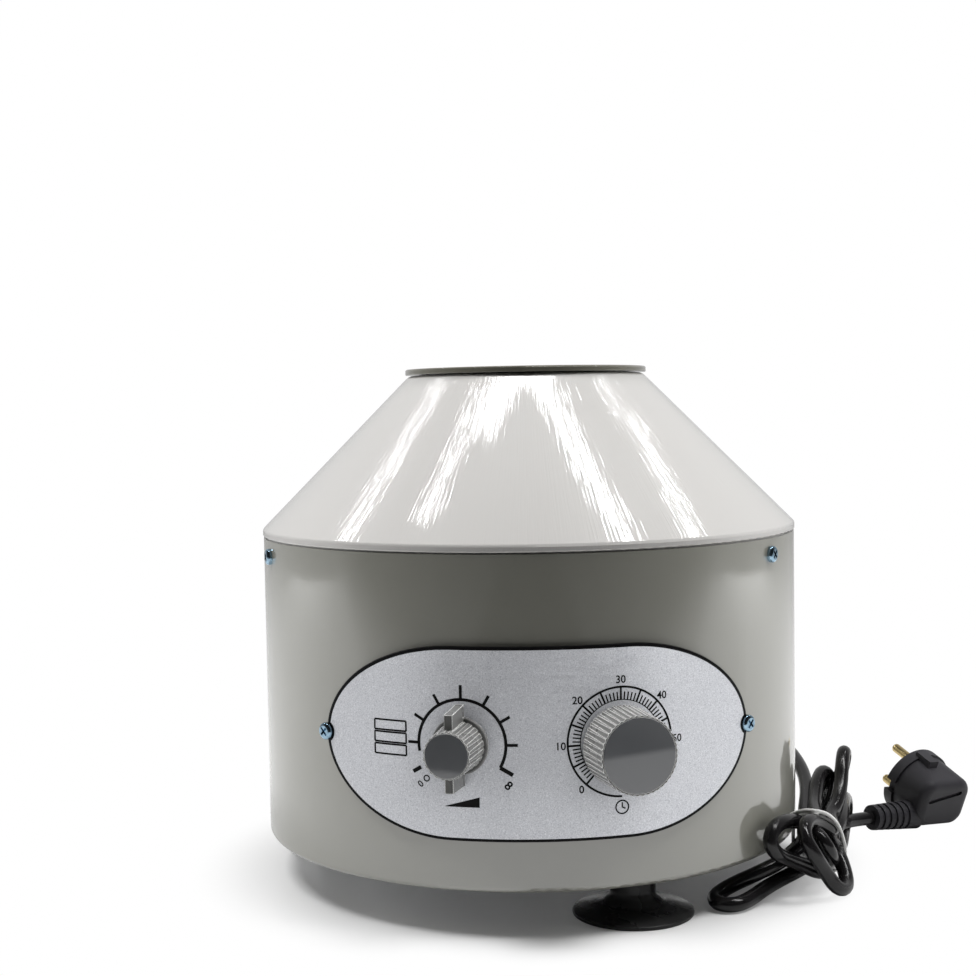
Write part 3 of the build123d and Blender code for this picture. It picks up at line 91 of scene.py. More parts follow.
# ---------------------------------------------------------------- node trees
MIX_FACTOR, MIX_OWN, MIX_OTHER, MIX_RESULT = 0, 6, 7, 2  # a colour Mix node's sockets
TINT_RANGE = (0.35, 0.65)   # the part of a texture's values over which a tint comes in
GLOSS_RANGE = (0.3, 0.7)    # the part over which the roughness changes
EDGE_RANGE = (0.004, 0.04)  # how far a normal turns where an edge starts to show, and shows fully
EDGE_SAMPLES = 6
finishes = {}               # each Surface enters its material here, under its own name


class Graph:
    """A node tree, with short ways to add and join its nodes."""

    def __init__(self, tree):
        self.tree = tree

    def add(self, kind, **settings):
        """A new node. A setting is one of its properties or the value of one of its inputs."""
        node = self.tree.nodes.new(kind)
        for key, value in settings.items():
            if key in node.bl_rna.properties:
                setattr(node, key, value)
            else:
                node.inputs[key.replace("_", " ")].default_value = value
        return node

    def link(self, output, socket):
        self.tree.links.new(output, socket)

    def maths(self, operation, *values):
        """The result of a Math node. A value is a number or another node's output."""
        node = self.add("ShaderNodeMath", operation=operation)
        for value, socket in zip(values, node.inputs):
            if isinstance(value, (int, float)):
                socket.default_value = value
            else:
                self.link(value, socket)
        return node.outputs[0]

    def graded(self, value, start, end, low, high, shape="SMOOTHSTEP"):
        """Goes from low to high as the value goes from start to end."""
        node = self.add(
            "ShaderNodeMapRange", interpolation_type=shape,
            From_Min=start, From_Max=end, To_Min=low, To_Max=high,
        )
        self.link(value, node.inputs["Value"])
        return node.outputs["Result"]

    def vector(self, x, y):
        node = self.add("ShaderNodeCombineXYZ")
        self.link(x, node.inputs["X"])
        self.link(y, node.inputs["Y"])
        return node.outputs["Vector"]

    def axes(self, vector):
        node = self.add("ShaderNodeSeparateXYZ")
        self.link(vector, node.inputs["Vector"])
        return [node.outputs[axis] for axis in "XYZ"]

    def length(self, vector):
        node = self.add("ShaderNodeVectorMath", operation="LENGTH")
        self.link(vector, node.inputs[0])
        return node.outputs["Value"]


class Surface(Graph):
    """A material: one Principled shader and the textures that feed it."""

    def __init__(self, name, colour, roughness, **inputs):
        self.material = bpy.data.materials.new(name)
        self.material.use_nodes = True
        super().__init__(self.material.node_tree)
        self.shader = self.tree.nodes["Principled BSDF"]
        inputs.update(Base_Color=(*colour, 1), Roughness=roughness)
        for socket, value in inputs.items():
            self.shader.inputs[socket.replace("_", " ")].default_value = value
        self.colour = colour
        self.last_normal = None
        finishes[name] = self.material

    def position(self):
        """Object coordinates, in metres."""
        return self.add("ShaderNodeTexCoord").outputs["Object"]

    def place(self, stretch=(1, 1, 1)):
        """Object coordinates times stretch."""
        mapping = self.add("ShaderNodeMapping", Scale=stretch)
        self.link(self.position(), mapping.inputs["Vector"])
        return mapping.outputs["Vector"]

    def rings(self, along):
        """Distance from the rotor's axis, and height: a noise on it makes rings round the axis."""
        x, y, z = self.axes(self.position())
        return self.vector(self.length(self.vector(x, y)), self.maths("MULTIPLY", z, along))

    def spokes(self, across, along):
        """Turn round the rotor's axis, and height: a noise on it makes marks down a wall."""
        x, y, z = self.axes(self.position())
        turn = self.maths("ARCTAN2", x, self.maths("MULTIPLY", y, -1))
        return self.vector(self.maths("MULTIPLY", turn, across), self.maths("MULTIPLY", z, along))

    def noise(self, scale, detail, rough=0.5, vector=None):
        node = self.add("ShaderNodeTexNoise", Scale=scale, Detail=detail, Roughness=rough)
        self.link(vector or self.place(), node.inputs["Vector"])
        return node.outputs["Fac"]

    def tint(self, value, other, share, span=TINT_RANGE):
        """The base colour goes a share of the way to another where the texture's value is high."""
        mix = self.add("ShaderNodeMix", data_type="RGBA")
        base = self.shader.inputs["Base Color"]
        if base.links:
            self.link(base.links[0].from_socket, mix.inputs[MIX_OWN])
        else:
            mix.inputs[MIX_OWN].default_value = (*self.colour, 1)
        mix.inputs[MIX_OTHER].default_value = (*other, 1)
        self.link(self.graded(value, *span, 0, share, "LINEAR"), mix.inputs[MIX_FACTOR])
        self.link(mix.outputs[MIX_RESULT], base)

    def gloss(self, value, low, high):
        """The roughness goes from low to high with the texture's value."""
        roughness = self.graded(value, *GLOSS_RANGE, low, high, "LINEAR")
        self.link(roughness, self.shader.inputs["Roughness"])

    def bump(self, value, depth):
        """Raises the surface by up to depth millimetres where the texture's value is high."""
        node = self.add("ShaderNodeBump", Strength=1.0, Distance=depth * MM)
        self.link(value, node.inputs["Height"])
        if self.last_normal:
            self.link(self.last_normal, node.inputs["Normal"])
        self.last_normal = node.outputs["Normal"]
        self.link(self.last_normal, self.shader.inputs["Normal"])

    def worn(self, other, width):
        """Painted highlight: patches of another colour on edges, where a bevelled normal leaves the
        flat one.
        """
        bevel = self.add("ShaderNodeBevel", samples=EDGE_SAMPLES, Radius=width)
        flat = self.add("ShaderNodeNewGeometry")
        alike = self.add("ShaderNodeVectorMath", operation="DOT_PRODUCT")
        self.link(bevel.outputs["Normal"], alike.inputs[0])
        self.link(flat.outputs["Normal"], alike.inputs[1])
        edge = self.maths("SUBTRACT", 1.0, alike.outputs["Value"])
        patchy = self.maths("MULTIPLY", edge, self.noise(900, 4))
        self.tint(patchy, other, 1.0, EDGE_RANGE)


# ---------------------------------------------------------------- materials
# A noise's first number is its scale, in about so many patches a metre, and its second says how
# much finer detail it has. A tint's last number is its share, and a bump's its depth in
# millimetres.
def times(colour, factor):
    return tuple(part * factor for part in colour)


def paint(name, colour, peel=0.006, scratch=0.006, mirror=1.75, haze=0.035):
    """Stove enamel: faint cloudiness, hair scratches, orange peel and a clear glossy top."""
    made = Surface(
        name, colour, roughness=0.3, Coat_Weight=1.0, Coat_Roughness=haze, Coat_IOR=mirror,
    )
    made.tint(made.noise(9, 1), times(colour, 0.9), 0.35)
    made.tint(made.noise(2600, 2), times(colour, 0.94), 0.3)
    made.bump(made.noise(1, 1, vector=made.spokes(130, 50)), scratch)
    made.bump(made.noise(420, 2), peel)
    made.link(made.last_normal, made.shader.inputs["Coat Normal"])


def plastic(name, colour, roughness, grain=2400, shine=0.5):
    """Moulded plastic with a fine spark-eroded grain."""
    made = Surface(name, colour, roughness, Specular_IOR_Level=shine)
    made.tint(made.noise(40, 1), times(colour, 0.85), 0.3)
    made.gloss(made.noise(60, 1), roughness * 0.92, roughness * 1.1)
    made.bump(made.noise(grain, 2), 0.02)


def metal(name, colour, roughness, stretch=(1, 1, 1), scale=900, depth=0.01, other=None,
          metallic=1.0, rings=None):
    """Bare or plated metal, its grain drawn out along one direction or in rings round the rotor."""
    made = Surface(name, colour, roughness, Metallic=metallic)
    grain = made.noise(scale, 4, 0.6, made.rings(rings) if rings else made.place(stretch))
    made.tint(grain, other or times(colour, 0.8), 0.5)
    made.gloss(made.noise(70, 4), roughness * 0.8, roughness * 1.3)
    made.bump(grain, depth)


def rubber(name, colour, roughness, shine=0.3):
    """Rubber or soft plastic with dusty patches."""
    made = Surface(name, colour, roughness, Specular_IOR_Level=shine)
    made.tint(made.noise(120, 5), tuple(part * 1.8 + 0.004 for part in colour), 0.4)
    made.gloss(made.noise(55, 4), roughness * 0.75, roughness * 1.35)
    made.bump(made.noise(1500, 3), 0.012)


def knob_plastic(name):
    """Grey moulded plastic, with a painted highlight along the edges of its ribs."""
    made = Surface(name, (0.15, 0.15, 0.146), roughness=0.25)
    made.tint(made.noise(40, 1), (0.125, 0.125, 0.121), 0.3)
    made.gloss(made.noise(60, 1), 0.25, 0.30)
    made.bump(made.noise(2400, 2), 0.006)
    # The near-white edges are a painted highlight along the ribs.
    made.worn((0.95, 0.95, 0.93), width=0.0006)


def cap_plastic(name):
    """Dark plastic under a clear top, a little wavy, that mirrors the table."""
    made = Surface(
        name, (0.078, 0.081, 0.086), roughness=0.14,
        Coat_Weight=1.0, Coat_Roughness=0.015, Coat_IOR=2.1,
    )
    made.tint(made.noise(60, 2), (0.068, 0.071, 0.076), 0.4)
    made.bump(made.noise(60, 1), 0.02)
    made.gloss(made.noise(90, 2), 0.11, 0.18)


def silver_sheet(name):
    """Printed aluminium sheet: matt silver with a fine sparkle and a faint brushing along it."""
    made = Surface(name, (0.56, 0.57, 0.60), roughness=0.34, Metallic=0.5)
    made.tint(made.noise(2300, 1), (0.78, 0.79, 0.82), 0.8, span=(0.5, 0.7))
    made.tint(made.noise(1700, 1), (0.36, 0.37, 0.41), 0.7, span=(0.52, 0.72))
    made.gloss(made.noise(700, 3, vector=made.place((0.15, 0.15, 1))), 0.30, 0.44)
    made.bump(made.noise(3200, 2), 0.006)


def sleeve_plastic(name):
    """Milky polypropylene, in which light spreads."""
    made = Surface(
        name, (0.62, 0.65, 0.67), roughness=0.24, IOR=1.49,
        Subsurface_Weight=0.4, Subsurface_Radius=(1, 1, 1), Subsurface_Scale=0.003,
    )
    made.tint(made.noise(90, 4), (0.56, 0.59, 0.61), 0.4)
    made.gloss(made.noise(120, 4), 0.20, 0.34)
    made.bump(made.noise(500, 3), 0.01)


paint("body_paint", (0.278, 0.276, 0.240), mirror=2.2, haze=0.045)
paint("cone_paint", (0.62, 0.607, 0.588), scratch=0.065, peel=0.003, haze=0.015)
paint("lid_paint", (0.16, 0.155, 0.125), mirror=1.5)
plastic("panel_black", (0.005, 0.005, 0.0055), 0.45, shine=0.12)
silver_sheet("panel_silver")
plastic("print_black", (0.005, 0.005, 0.005), 0.5, shine=0.1)
knob_plastic("knob_grey")
cap_plastic("cap_grey")
metal("control_body", (0.55, 0.55, 0.56), 0.35)
metal("blue_zinc", (0.42, 0.60, 0.74), 0.13, scale=500, other=(0.07, 0.14, 0.22))
metal("steel", (0.60, 0.60, 0.61), 0.3, stretch=(1, 1, 6))
metal("plate_steel", (0.48, 0.49, 0.50), 0.42, stretch=(1, 8, 1), scale=500)
metal("hinge_steel", (0.62, 0.62, 0.62), 0.28, stretch=(8, 1, 1))
metal("core_iron", (0.22, 0.22, 0.23), 0.45, stretch=(1, 1, 30), scale=120, depth=0.05)
metal("copper", (0.72, 0.30, 0.14), 0.28, scale=1600, depth=0.05, other=(0.45, 0.14, 0.05))
metal("pin_brass", (0.83, 0.66, 0.34), 0.2, scale=200, depth=0.001, other=(0.70, 0.54, 0.26))
metal("chrome_nut", (0.86, 0.87, 0.88), 0.07, scale=300, depth=0.004)
metal("bowl_aluminium", (0.80, 0.81, 0.83), 0.30, scale=1300, depth=0.006,
      other=(0.60, 0.61, 0.63), metallic=0.6, rings=0.3)
sleeve_plastic("sleeve_white")
plastic("dark_ring", (0.03, 0.028, 0.026), 0.35)
plastic("carbon", (0.03, 0.03, 0.03), 0.5)
plastic("board_green", (0.03, 0.16, 0.06), 0.3)
rubber("foot_rubber", (0.016, 0.016, 0.016), 0.24)
rubber("cord_black", (0.007, 0.0065, 0.007), 0.2, shine=0.5)
plastic("plug_black", (0.028, 0.027, 0.031), 0.46, grain=1800, shine=0.3)
plastic("tie_white", (0.80, 0.80, 0.78), 0.3)

# Each node takes the material that its slot names. The plug shares the cord's slot, but is matt.
finish_of = {entry["node"]: entry["material_slot"] for entry in frame["record"]["subparts"]}
finish_of["plug_body"] = "plug_black"
for name, node in nodes.items():
    for entry in node.material_slots:
        entry.material = finishes[finish_of[name]]


def linked(name, data, finish, body):
    """A piece with one material, riding on a body."""
    made = bpy.data.objects.new(name, data)
    scene.collection.objects.link(made)
    made.data.materials.append(finishes[finish])
    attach(made, body)
    return made


# ---------------------------------------------------------------- mains lead
CORD_DIAMETER = 6.8
TIE_DIAMETER = 1.7
# Routes in millimetres. The lead's is part.py's, up to the hank. The hank's solid there is one
# bundle with filled loops, so the hank's own turns are given one by one inside it. The tail's
# points are given near its tube, and the tie goes round the waist of the hank.
LEAD_POINTS = [
    (27.1, 153.6, 62.0), (30.9, 175.3, 62.0), (43.2, 193.5, 58.5), (62.1, 204.8, 52.5),
    (84.0, 205.6, 48.0), (105.5, 196.0, 46.0), (122.0, 177.0, 45.0), (132.0, 151.5, 44.5),
    (137.0, 121.5, 44.3), (136.0, 90.0, 44.6), (131.5, 58.0, 45.2), (137.0, 27.0, 41.0),
    (138.0, 0.0, 34.0), (130.5, -31.0, 26.0),
]
HANK_POINTS = [
    (128.9, -53, 22), (114.5, -69.5, 15.6), (101, -77.5, 12), (91, -79, 8.2), (84, -81.5, 5.2),
    (80.3, -87.5, 3.9), (82.5, -94.5, 3.5), (89.8, -95.5, 3.5), (97, -88.5, 4.2), (107, -76.5, 6.6),
    (120.8, -66, 9.6), (128.9, -55, 9.8), (128.9, -37, 9.8), (131.8, -26, 13.8), (135, -17, 18.5),
    (139.5, -9, 22), (144.5, -1, 26.5), (149, 4, 30.5), (150.2, 6, 36), (146.3, 4, 40),
    (142, -5, 38), (138.2, -19, 31.5), (135.2, -34, 29), (135.2, -53, 28.4), (119.5, -67, 33.2),
    (113.5, -76, 35.6), (108.1, -83.3, 34.6), (105.4, -87, 29.5), (108, -86, 24.2),
    (113.5, -79, 19.5), (122, -71, 14.5), (130, -65, 9.1), (135.2, -55, 6), (135.2, -37, 6.2),
    (137, -27, 8.6), (140.5, -17, 14.5), (145.5, -9, 20.5), (150.5, -1, 29), (155.5, 4, 39),
    (157.3, 4, 47.5), (155.5, -2, 51.2), (153, -10, 46), (151, -17, 37.5), (147.5, -26, 30.5),
    (141.5, -35, 27), (141.5, -53, 24.2), (130.5, -64, 33), (123.5, -76, 35.2), (121.3, -84, 30.5),
    (125.5, -86, 23.3), (131.5, -81, 13.5), (136, -79.5, 6.5), (140.5, -75, 3.6), (143.8, -68, 3.9),
    (143.5, -62.5, 9.5), (141.8, -56, 15.5), (141.5, -39, 17), (147.5, -30, 21.5), (152, -17, 23.8),
    (154, -6, 24.8), (156.5, 6, 24.8), (160, 18, 22.5), (162.3, 26, 17), (162, 27.5, 9.5),
    (159.5, 21, 4), (156.5, 9, 3.5), (153.5, -4, 3.8), (147.5, -19, 6), (141.5, -33, 9.8),
    (141.5, -51, 9.8), (138.5, -60, 12), (136.5, -69, 16), (134.5, -74.5, 21.5),
    (130.5, -74.5, 27.5), (128.8, -67, 28.8), (131.5, -57, 25.5), (135.2, -46, 22),
    (136.4, -36.5, 20.4),
]
TAIL_POINTS = [
    (141.5, -29, 18.6), (147, -17, 15), (150, -4, 12.2), (154.5, 8, 11), (163.2, 20.9, 9.95),
    (175.4, 27.8, 9.04),
]
TIE_POINTS = [
    (119.2, -62.5, 35.0), (123.0, -65.0, 37.6), (128.5, -67.5, 38.2), (135.3, -65.0, 36.2),
    (141.0, -60.0, 30.4), (144.6, -54.0, 22.0), (146.8, -49.0, 14.5), (146.8, -46.0, 7.0),
    (142.0, -44.0, 2.4), (132.0, -43.0, 1.9), (125.0, -45.0, 5.0), (122.3, -50.0, 14.0),
    (120.8, -58.5, 26.0), (120.4, -63.5, 33.4), (124.6, -66.4, 36.6), (131.0, -67.8, 36.4),
]


def bar(name, points, diameter, finish):
    """A round bar on the housing, along one smooth open spline."""
    curve = bpy.data.curves.new(name, "CURVE")
    curve.dimensions = "3D"
    line = curve.splines.new("NURBS")
    line.points.add(len(points) - 1)
    for made, at in zip(line.points, points):
        made.co = (*point(*at), 1)
    line.order_u = 3
    line.use_endpoint_u = True
    line.resolution_u = 8
    curve.bevel_depth = diameter / 2 * MM
    curve.bevel_resolution = 5
    curve.use_fill_caps = True
    return linked(name, curve, finish, "housing")


cord = bar("mains_cord", LEAD_POINTS + HANK_POINTS + TAIL_POINTS, CORD_DIAMETER, "cord_black")
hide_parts("cord_lead", "cord_hank", "cord_tail")
tie = bar("cord_twist_tie", TIE_POINTS, TIE_DIAMETER, "tie_white")
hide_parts("cord_tie")

# ---------------------------------------------------------------- print
# Sizes here are in millimetres, and angles in degrees clockwise from straight up.
PRINT_HEIGHT = 0.08   # how far the print stands out of its surface, so that it never flickers
PRINT_ROOT = 0.02     # how far it reaches into it
SAME_PLACE = 1e-7     # metres
ARC_STEP = 4
LINE_STEP = 4
DOT_SIDES = 16


def around(centre, radius, angle):
    """The point at a radius and an angle from a centre."""
    return centre[0] + radius * sin(radians(angle)), centre[1] + radius * cos(radians(angle))


class Print:
    """Flat marks on a surface. where(x, y, h) is a mark's point, h above the surface."""

    def __init__(self, where):
        self.bm = bmesh.new()
        self.where = where

    def row(self, outline, height):
        return [self.bm.verts.new(self.where(x, y, height)) for x, y in outline]

    def prism(self, outline):
        """A closed plate on an outline, which is convex or nearly so."""
        low, high = self.row(outline, -PRINT_ROOT), self.row(outline, PRINT_HEIGHT)
        self.bm.faces.new(high)
        self.bm.faces.new(low[::-1])
        for i in range(len(outline)):
            j = (i + 1) % len(outline)
            self.bm.faces.new((low[i], low[j], high[j], high[i]))

    def ribbon(self, inner, outer):
        """A closed strip between two rows of points."""
        a, b = self.row(inner, -PRINT_ROOT), self.row(inner, PRINT_HEIGHT)
        d, c = self.row(outer, -PRINT_ROOT), self.row(outer, PRINT_HEIGHT)
        for i in range(len(inner) - 1):
            for p, q in ((a, b), (b, c), (c, d), (d, a)):
                self.bm.faces.new((p[i], p[i + 1], q[i + 1], q[i]))
        for i in (0, -1):
            self.bm.faces.new((a[i], b[i], c[i], d[i]))

    def arc(self, centre, radius, width, start, end):
        count = max(2, round(abs(end - start) / ARC_STEP))
        turns = [start + (end - start) * i / count for i in range(count + 1)]
        self.ribbon(*(
            [around(centre, r, turn) for turn in turns]
            for r in (radius - width / 2, radius + width / 2)
        ))

    def circle(self, centre, radius, width):
        for start in (0, 180):
            self.arc(centre, radius, width, start, start + 180)

    def disc(self, centre, radius):
        turns = [360 * i / DOT_SIDES for i in range(DOT_SIDES)]
        self.prism([around(centre, radius, turn) for turn in turns])

    def tick(self, centre, angle, near, far, width):
        """A short bar that points away from the centre."""
        t = radians(angle)
        out, side = Vector((sin(t), cos(t))), Vector((cos(t), -sin(t))) * width / 2
        corners = ((near, -1), (far, -1), (far, 1), (near, 1))
        self.prism([Vector(centre) + out * r + side * s for r, s in corners])

    def line(self, a, b, width):
        a, b = Vector(a), Vector(b)
        along = (b - a).normalized()
        side = Vector((-along.y, along.x)) * width / 2
        count = max(1, round((b - a).length / LINE_STEP))
        steps = [a + (b - a) * i / count for i in range(count + 1)]
        self.ribbon([p - side for p in steps], [p + side for p in steps])

    def box(self, centre, wide, tall, width):
        x, y = wide / 2, tall / 2
        signs = ((-1, -1), (1, -1), (1, 1), (-1, 1))
        corners = [(centre[0] + i * x, centre[1] + j * y) for i, j in signs]
        for a, b in zip(corners, corners[1:] + corners[:1]):
            self.line(a, b, width)

    def number(self, text, centre, size, turn=0.0, bold=0.0):
        """A generic numeral, centred, and turned clockwise."""
        data = bpy.data.curves.new("numeral", "FONT")
        data.body = text
        data.size = size
        data.align_x = "CENTER"
        data.align_y = "CENTER"
        data.extrude = (PRINT_HEIGHT + PRINT_ROOT) / 2
        data.offset = bold
        data.resolution_u = 3
        holder = bpy.data.objects.new("numeral", data)
        mesh = bpy.data.meshes.new_from_object(holder)
        t = radians(turn)
        known = []
        for vertex in mesh.vertices:
            x, y, h = vertex.co
            at = centre[0] + x * cos(t) + y * sin(t), centre[1] + y * cos(t) - x * sin(t)
            place = self.where(*at, h + (PRINT_HEIGHT - PRINT_ROOT) / 2)
            known.append(self.bm.verts.new(place))
        for polygon in mesh.polygons:
            self.bm.faces.new([known[i] for i in polygon.vertices])
        bpy.data.objects.remove(holder)
        bpy.data.meshes.remove(mesh)
        bpy.data.curves.remove(data)

    def finish(self, name, body):
        """Makes the piece out of all the marks."""
        bmesh.ops.remove_doubles(self.bm, verts=self.bm.verts, dist=SAME_PLACE)
        bmesh.ops.recalc_face_normals(self.bm, faces=self.bm.faces)
        mesh = bpy.data.meshes.new(name)
        self.bm.to_mesh(mesh)
        self.bm.free()
        return linked(name, mesh, "print_black", body)


# ---------------------------------------------------------------- print on the panel
PANEL_FACE = 132.55   # radius of the panel's face
DIAL_LEVEL = 83.8
SPEED_CENTRE = (PANEL_FACE * radians(-12.75), DIAL_LEVEL)
TIMER_CENTRE = (PANEL_FACE * radians(16.65), DIAL_LEVEL)


def on_panel(x, y, h):
    """x round the panel from the front, y above the bench, h in front of the panel's face."""
    angle = x / PANEL_FACE
    r = PANEL_FACE + h
    return point(r * sin(angle), -r * cos(angle), y)


# Speed dial: a broad arc with nine ticks, numbered at its two ends. Each number reads along its
# radius, and a small ring stands between the arc and the 0.
SPEED_ARC = 19.0
SPEED_END = 120
SPEED_STEPS = 8
ZERO_ANGLE, EIGHT_ANGLE = -134, 131
zero_ring, zero, eight = (
    around(SPEED_CENTRE, radius, angle)
    for radius, angle in ((21.8, ZERO_ANGLE), (25.6, ZERO_ANGLE), (26.2, EIGHT_ANGLE))
)
speed_print = Print(on_panel)
speed_print.arc(SPEED_CENTRE, SPEED_ARC, width=1.3, start=-101, end=SPEED_END)
for step in range(SPEED_STEPS + 1):
    angle = -SPEED_END + 2 * SPEED_END * step // SPEED_STEPS
    near = SPEED_ARC if step else 21.0
    far = 24.0 if step % 4 else 25.2
    width = 1.7 if step in (0, SPEED_STEPS) else 1.25
    speed_print.tick(SPEED_CENTRE, angle, near, far, width)
speed_print.circle(zero_ring, radius=1.2, width=0.55)
speed_print.number("0", zero, size=4.2, turn=ZERO_ANGLE + 90, bold=0.06)
speed_print.number("8", eight, size=5.4, turn=EIGHT_ANGLE - 90, bold=0.1)

# Under it a wedge that means slow to fast, and beside it three empty boxes.
WEDGE_FOOT, WEDGE_TOP, WEDGE_SLOPE = 57.2, 57.4, 0.28
WEDGE_STEPS, WEDGE_STEP = 10, 1.5
wedge = [SPEED_CENTRE[0] + WEDGE_STEP * (i - WEDGE_STEPS / 2) for i in range(WEDGE_STEPS + 1)]
speed_print.ribbon(
    [(x, WEDGE_FOOT) for x in wedge],
    [(x, WEDGE_TOP + WEDGE_SLOPE * (x - wedge[0])) for x in wedge],
)
BOX_COLUMN, BOX_TOP, BOX_PITCH = SPEED_CENTRE[0] - 32.8, DIAL_LEVEL + 6.4, 5.2
for row in range(3):
    speed_print.box((BOX_COLUMN, BOX_TOP - BOX_PITCH * row), wide=15.6, tall=4.3, width=0.75)
speed_marks = speed_print.finish("speed_dial_print", "housing")

# Timer dial: a ring of minutes, an outer arc, and numbers every ten minutes. Its 60 is left off.
MINUTE_RING, TIMER_NUMBERS = 17.8, 26.2
TIMER_END = 138
MINUTE_TURN = 2 * TIMER_END / 60
timer_print = Print(on_panel)
timer_print.arc(TIMER_CENTRE, radius=23.2, width=0.9, start=-180, end=84)
timer_print.arc(TIMER_CENTRE, MINUTE_RING, width=0.4, start=-TIMER_END, end=TIMER_END)
for minute in range(61):
    angle = -TIMER_END + MINUTE_TURN * minute
    far, width = (21.2, 0.6) if minute % 5 else (23.0, 0.85)
    timer_print.tick(TIMER_CENTRE, angle, MINUTE_RING, far, width)
for minute in range(0, 60, 10):
    at = around(TIMER_CENTRE, TIMER_NUMBERS, -TIMER_END + MINUTE_TURN * minute)
    timer_print.number(str(minute), at, size=4.6, bold=0.07)

# Under it a small clock.
CLOCK_LINE = 0.6
clock = (TIMER_CENTRE[0], 56.0)
timer_print.circle(clock, radius=2.8, width=CLOCK_LINE)
for x, y in ((0, 2.0), (1.4, -0.7)):
    timer_print.line(clock, (clock[0] + x, clock[1] + y), CLOCK_LINE)
timer_marks = timer_print.finish("timer_dial_print", "housing")

# ---------------------------------------------------------------- numbers round the rotor's nut
RING_TOP = 198.5
NUMBER_RADIUS, DOT_RADIUS = 17.2, 20.9
NUMBERS = (4, 5, 6, 1, 2, 3)
FIRST_AZIMUTH = 161   # the azimuth of the first of them, counted from +X towards +Y


def on_ring(x, y, h):
    return point(x, y, RING_TOP + h)


ring_print = Print(on_ring)
for i, number in enumerate(NUMBERS):
    azimuth = FIRST_AZIMUTH - 60 * i
    t = radians(azimuth)
    at = (NUMBER_RADIUS * cos(t), NUMBER_RADIUS * sin(t))
    ring_print.number(str(number), at, size=5.2, turn=90 - azimuth, bold=0.08)
    ring_print.disc((DOT_RADIUS * cos(t), DOT_RADIUS * sin(t)), radius=0.65)
ring_print.finish("rotor_numbers", "rotor")

# ---------------------------------------------------------------- studio
# The camera sees a pale floor that fades to white. Other rays see a table whose tone changes with
# Y and which ends in front of the part, because the photographed gloss seems to mirror one.
FLOOR_HALF = 6
CAMERA_TONE = 0.88
FADE_TO_WHITE, LEAST_WHITE = (0.120, 0.170), 0.04     # distances from the rotor's axis
TABLE_EDGE, TABLE_TONES = (-0.40, -0.25), (0.55, 0.72)
TABLE_END, PAST_END = (-0.455, -0.435), 0.03          # crisp in the middle
TABLE_END_SOFT, PAST_END_SOFT = (-0.75, -0.2), 0.2    # soft towards the sides
TABLE_MIDDLE = (0.28, 0.40)                           # where the crisp end gives way to the soft


def floor_material():
    made = Surface("floor", (0.7, 0.7, 0.7), roughness=0.22, Specular_IOR_Level=0.35)
    seen = made.add("ShaderNodeLightPath").outputs["Is Camera Ray"]
    x, y, _ = made.axes(made.position())
    near = made.graded(y, *TABLE_EDGE, *TABLE_TONES)
    crisp_share = made.graded(made.maths("ABSOLUTE", x), *TABLE_MIDDLE, 1.0, 0.0)
    crisp = made.maths("MULTIPLY", made.graded(y, *TABLE_END, PAST_END, 1.0), crisp_share)
    soft_share = made.maths("SUBTRACT", 1.0, crisp_share)
    soft = made.maths("MULTIPLY", made.graded(y, *TABLE_END_SOFT, PAST_END_SOFT, 1.0), soft_share)
    table = made.maths("MULTIPLY", near, made.maths("ADD", crisp, soft))
    tone = made.maths("MAXIMUM", table, made.maths("MULTIPLY", seen, CAMERA_TONE))
    made.link(tone, made.shader.inputs["Base Color"])

    white = made.add("ShaderNodeEmission", Strength=1.0)
    reach = made.length(made.position())
    whiteness = made.maths("MULTIPLY", made.graded(reach, *FADE_TO_WHITE, LEAST_WHITE, 1.0), seen)
    both = made.add("ShaderNodeMixShader")
    for output, socket in zip((whiteness, made.shader.outputs[0], white.outputs[0]), both.inputs):
        made.link(output, socket)
    made.link(both.outputs[0], made.tree.nodes["Material Output"].inputs["Surface"])
    return made.material


corners = [(i * FLOOR_HALF, j * FLOOR_HALF, 0) for i, j in ((-1, -1), (1, -1), (1, 1), (-1, 1))]
floor_mesh = bpy.data.meshes.new("floor")
floor_mesh.from_pydata(corners, [], [(0, 1, 2, 3)])
floor_mesh.materials.append(floor_material())
floor = bpy.data.objects.new("floor", floor_mesh)
scene.collection.objects.link(floor)

# The world is white for camera and transmission rays, and for the rest it goes from dark in front
# to pale behind.
WORLD_SPAN = (-0.10, 1.0)     # the Y of a ray's direction where it is darkest and palest
DARK_FRONT, WHITE_BACK = 0.02, 0.55
world = bpy.data.worlds.new("studio")
scene.world = world
world.use_nodes = True
sky = Graph(world.node_tree)
background = world.node_tree.nodes["Background"]
background.inputs["Color"].default_value = (1, 1, 1, 1)
path = sky.add("ShaderNodeLightPath")
shown = sky.maths("MAXIMUM", path.outputs["Is Camera Ray"], path.outputs["Is Transmission Ray"])
_, depth, _ = sky.axes(sky.add("ShaderNodeTexCoord").outputs["Generated"])
surround = sky.graded(depth, *WORLD_SPAN, DARK_FRONT, WHITE_BACK)
sky.link(sky.maths("MAXIMUM", surround, shown), background.inputs["Strength"])

# ---------------------------------------------------------------- lamps
PART_MIDDLE = (0, 0, 0.12)
PANEL_MIDDLE = (0, -0.13, 0.1)
KNOBS_MIDDLE = (0, -0.15, 0.08)
HANK_MIDDLE = (0.14, -0.03, 0.03)
CONE_MIDDLE = Vector((0, 0, 0.21))


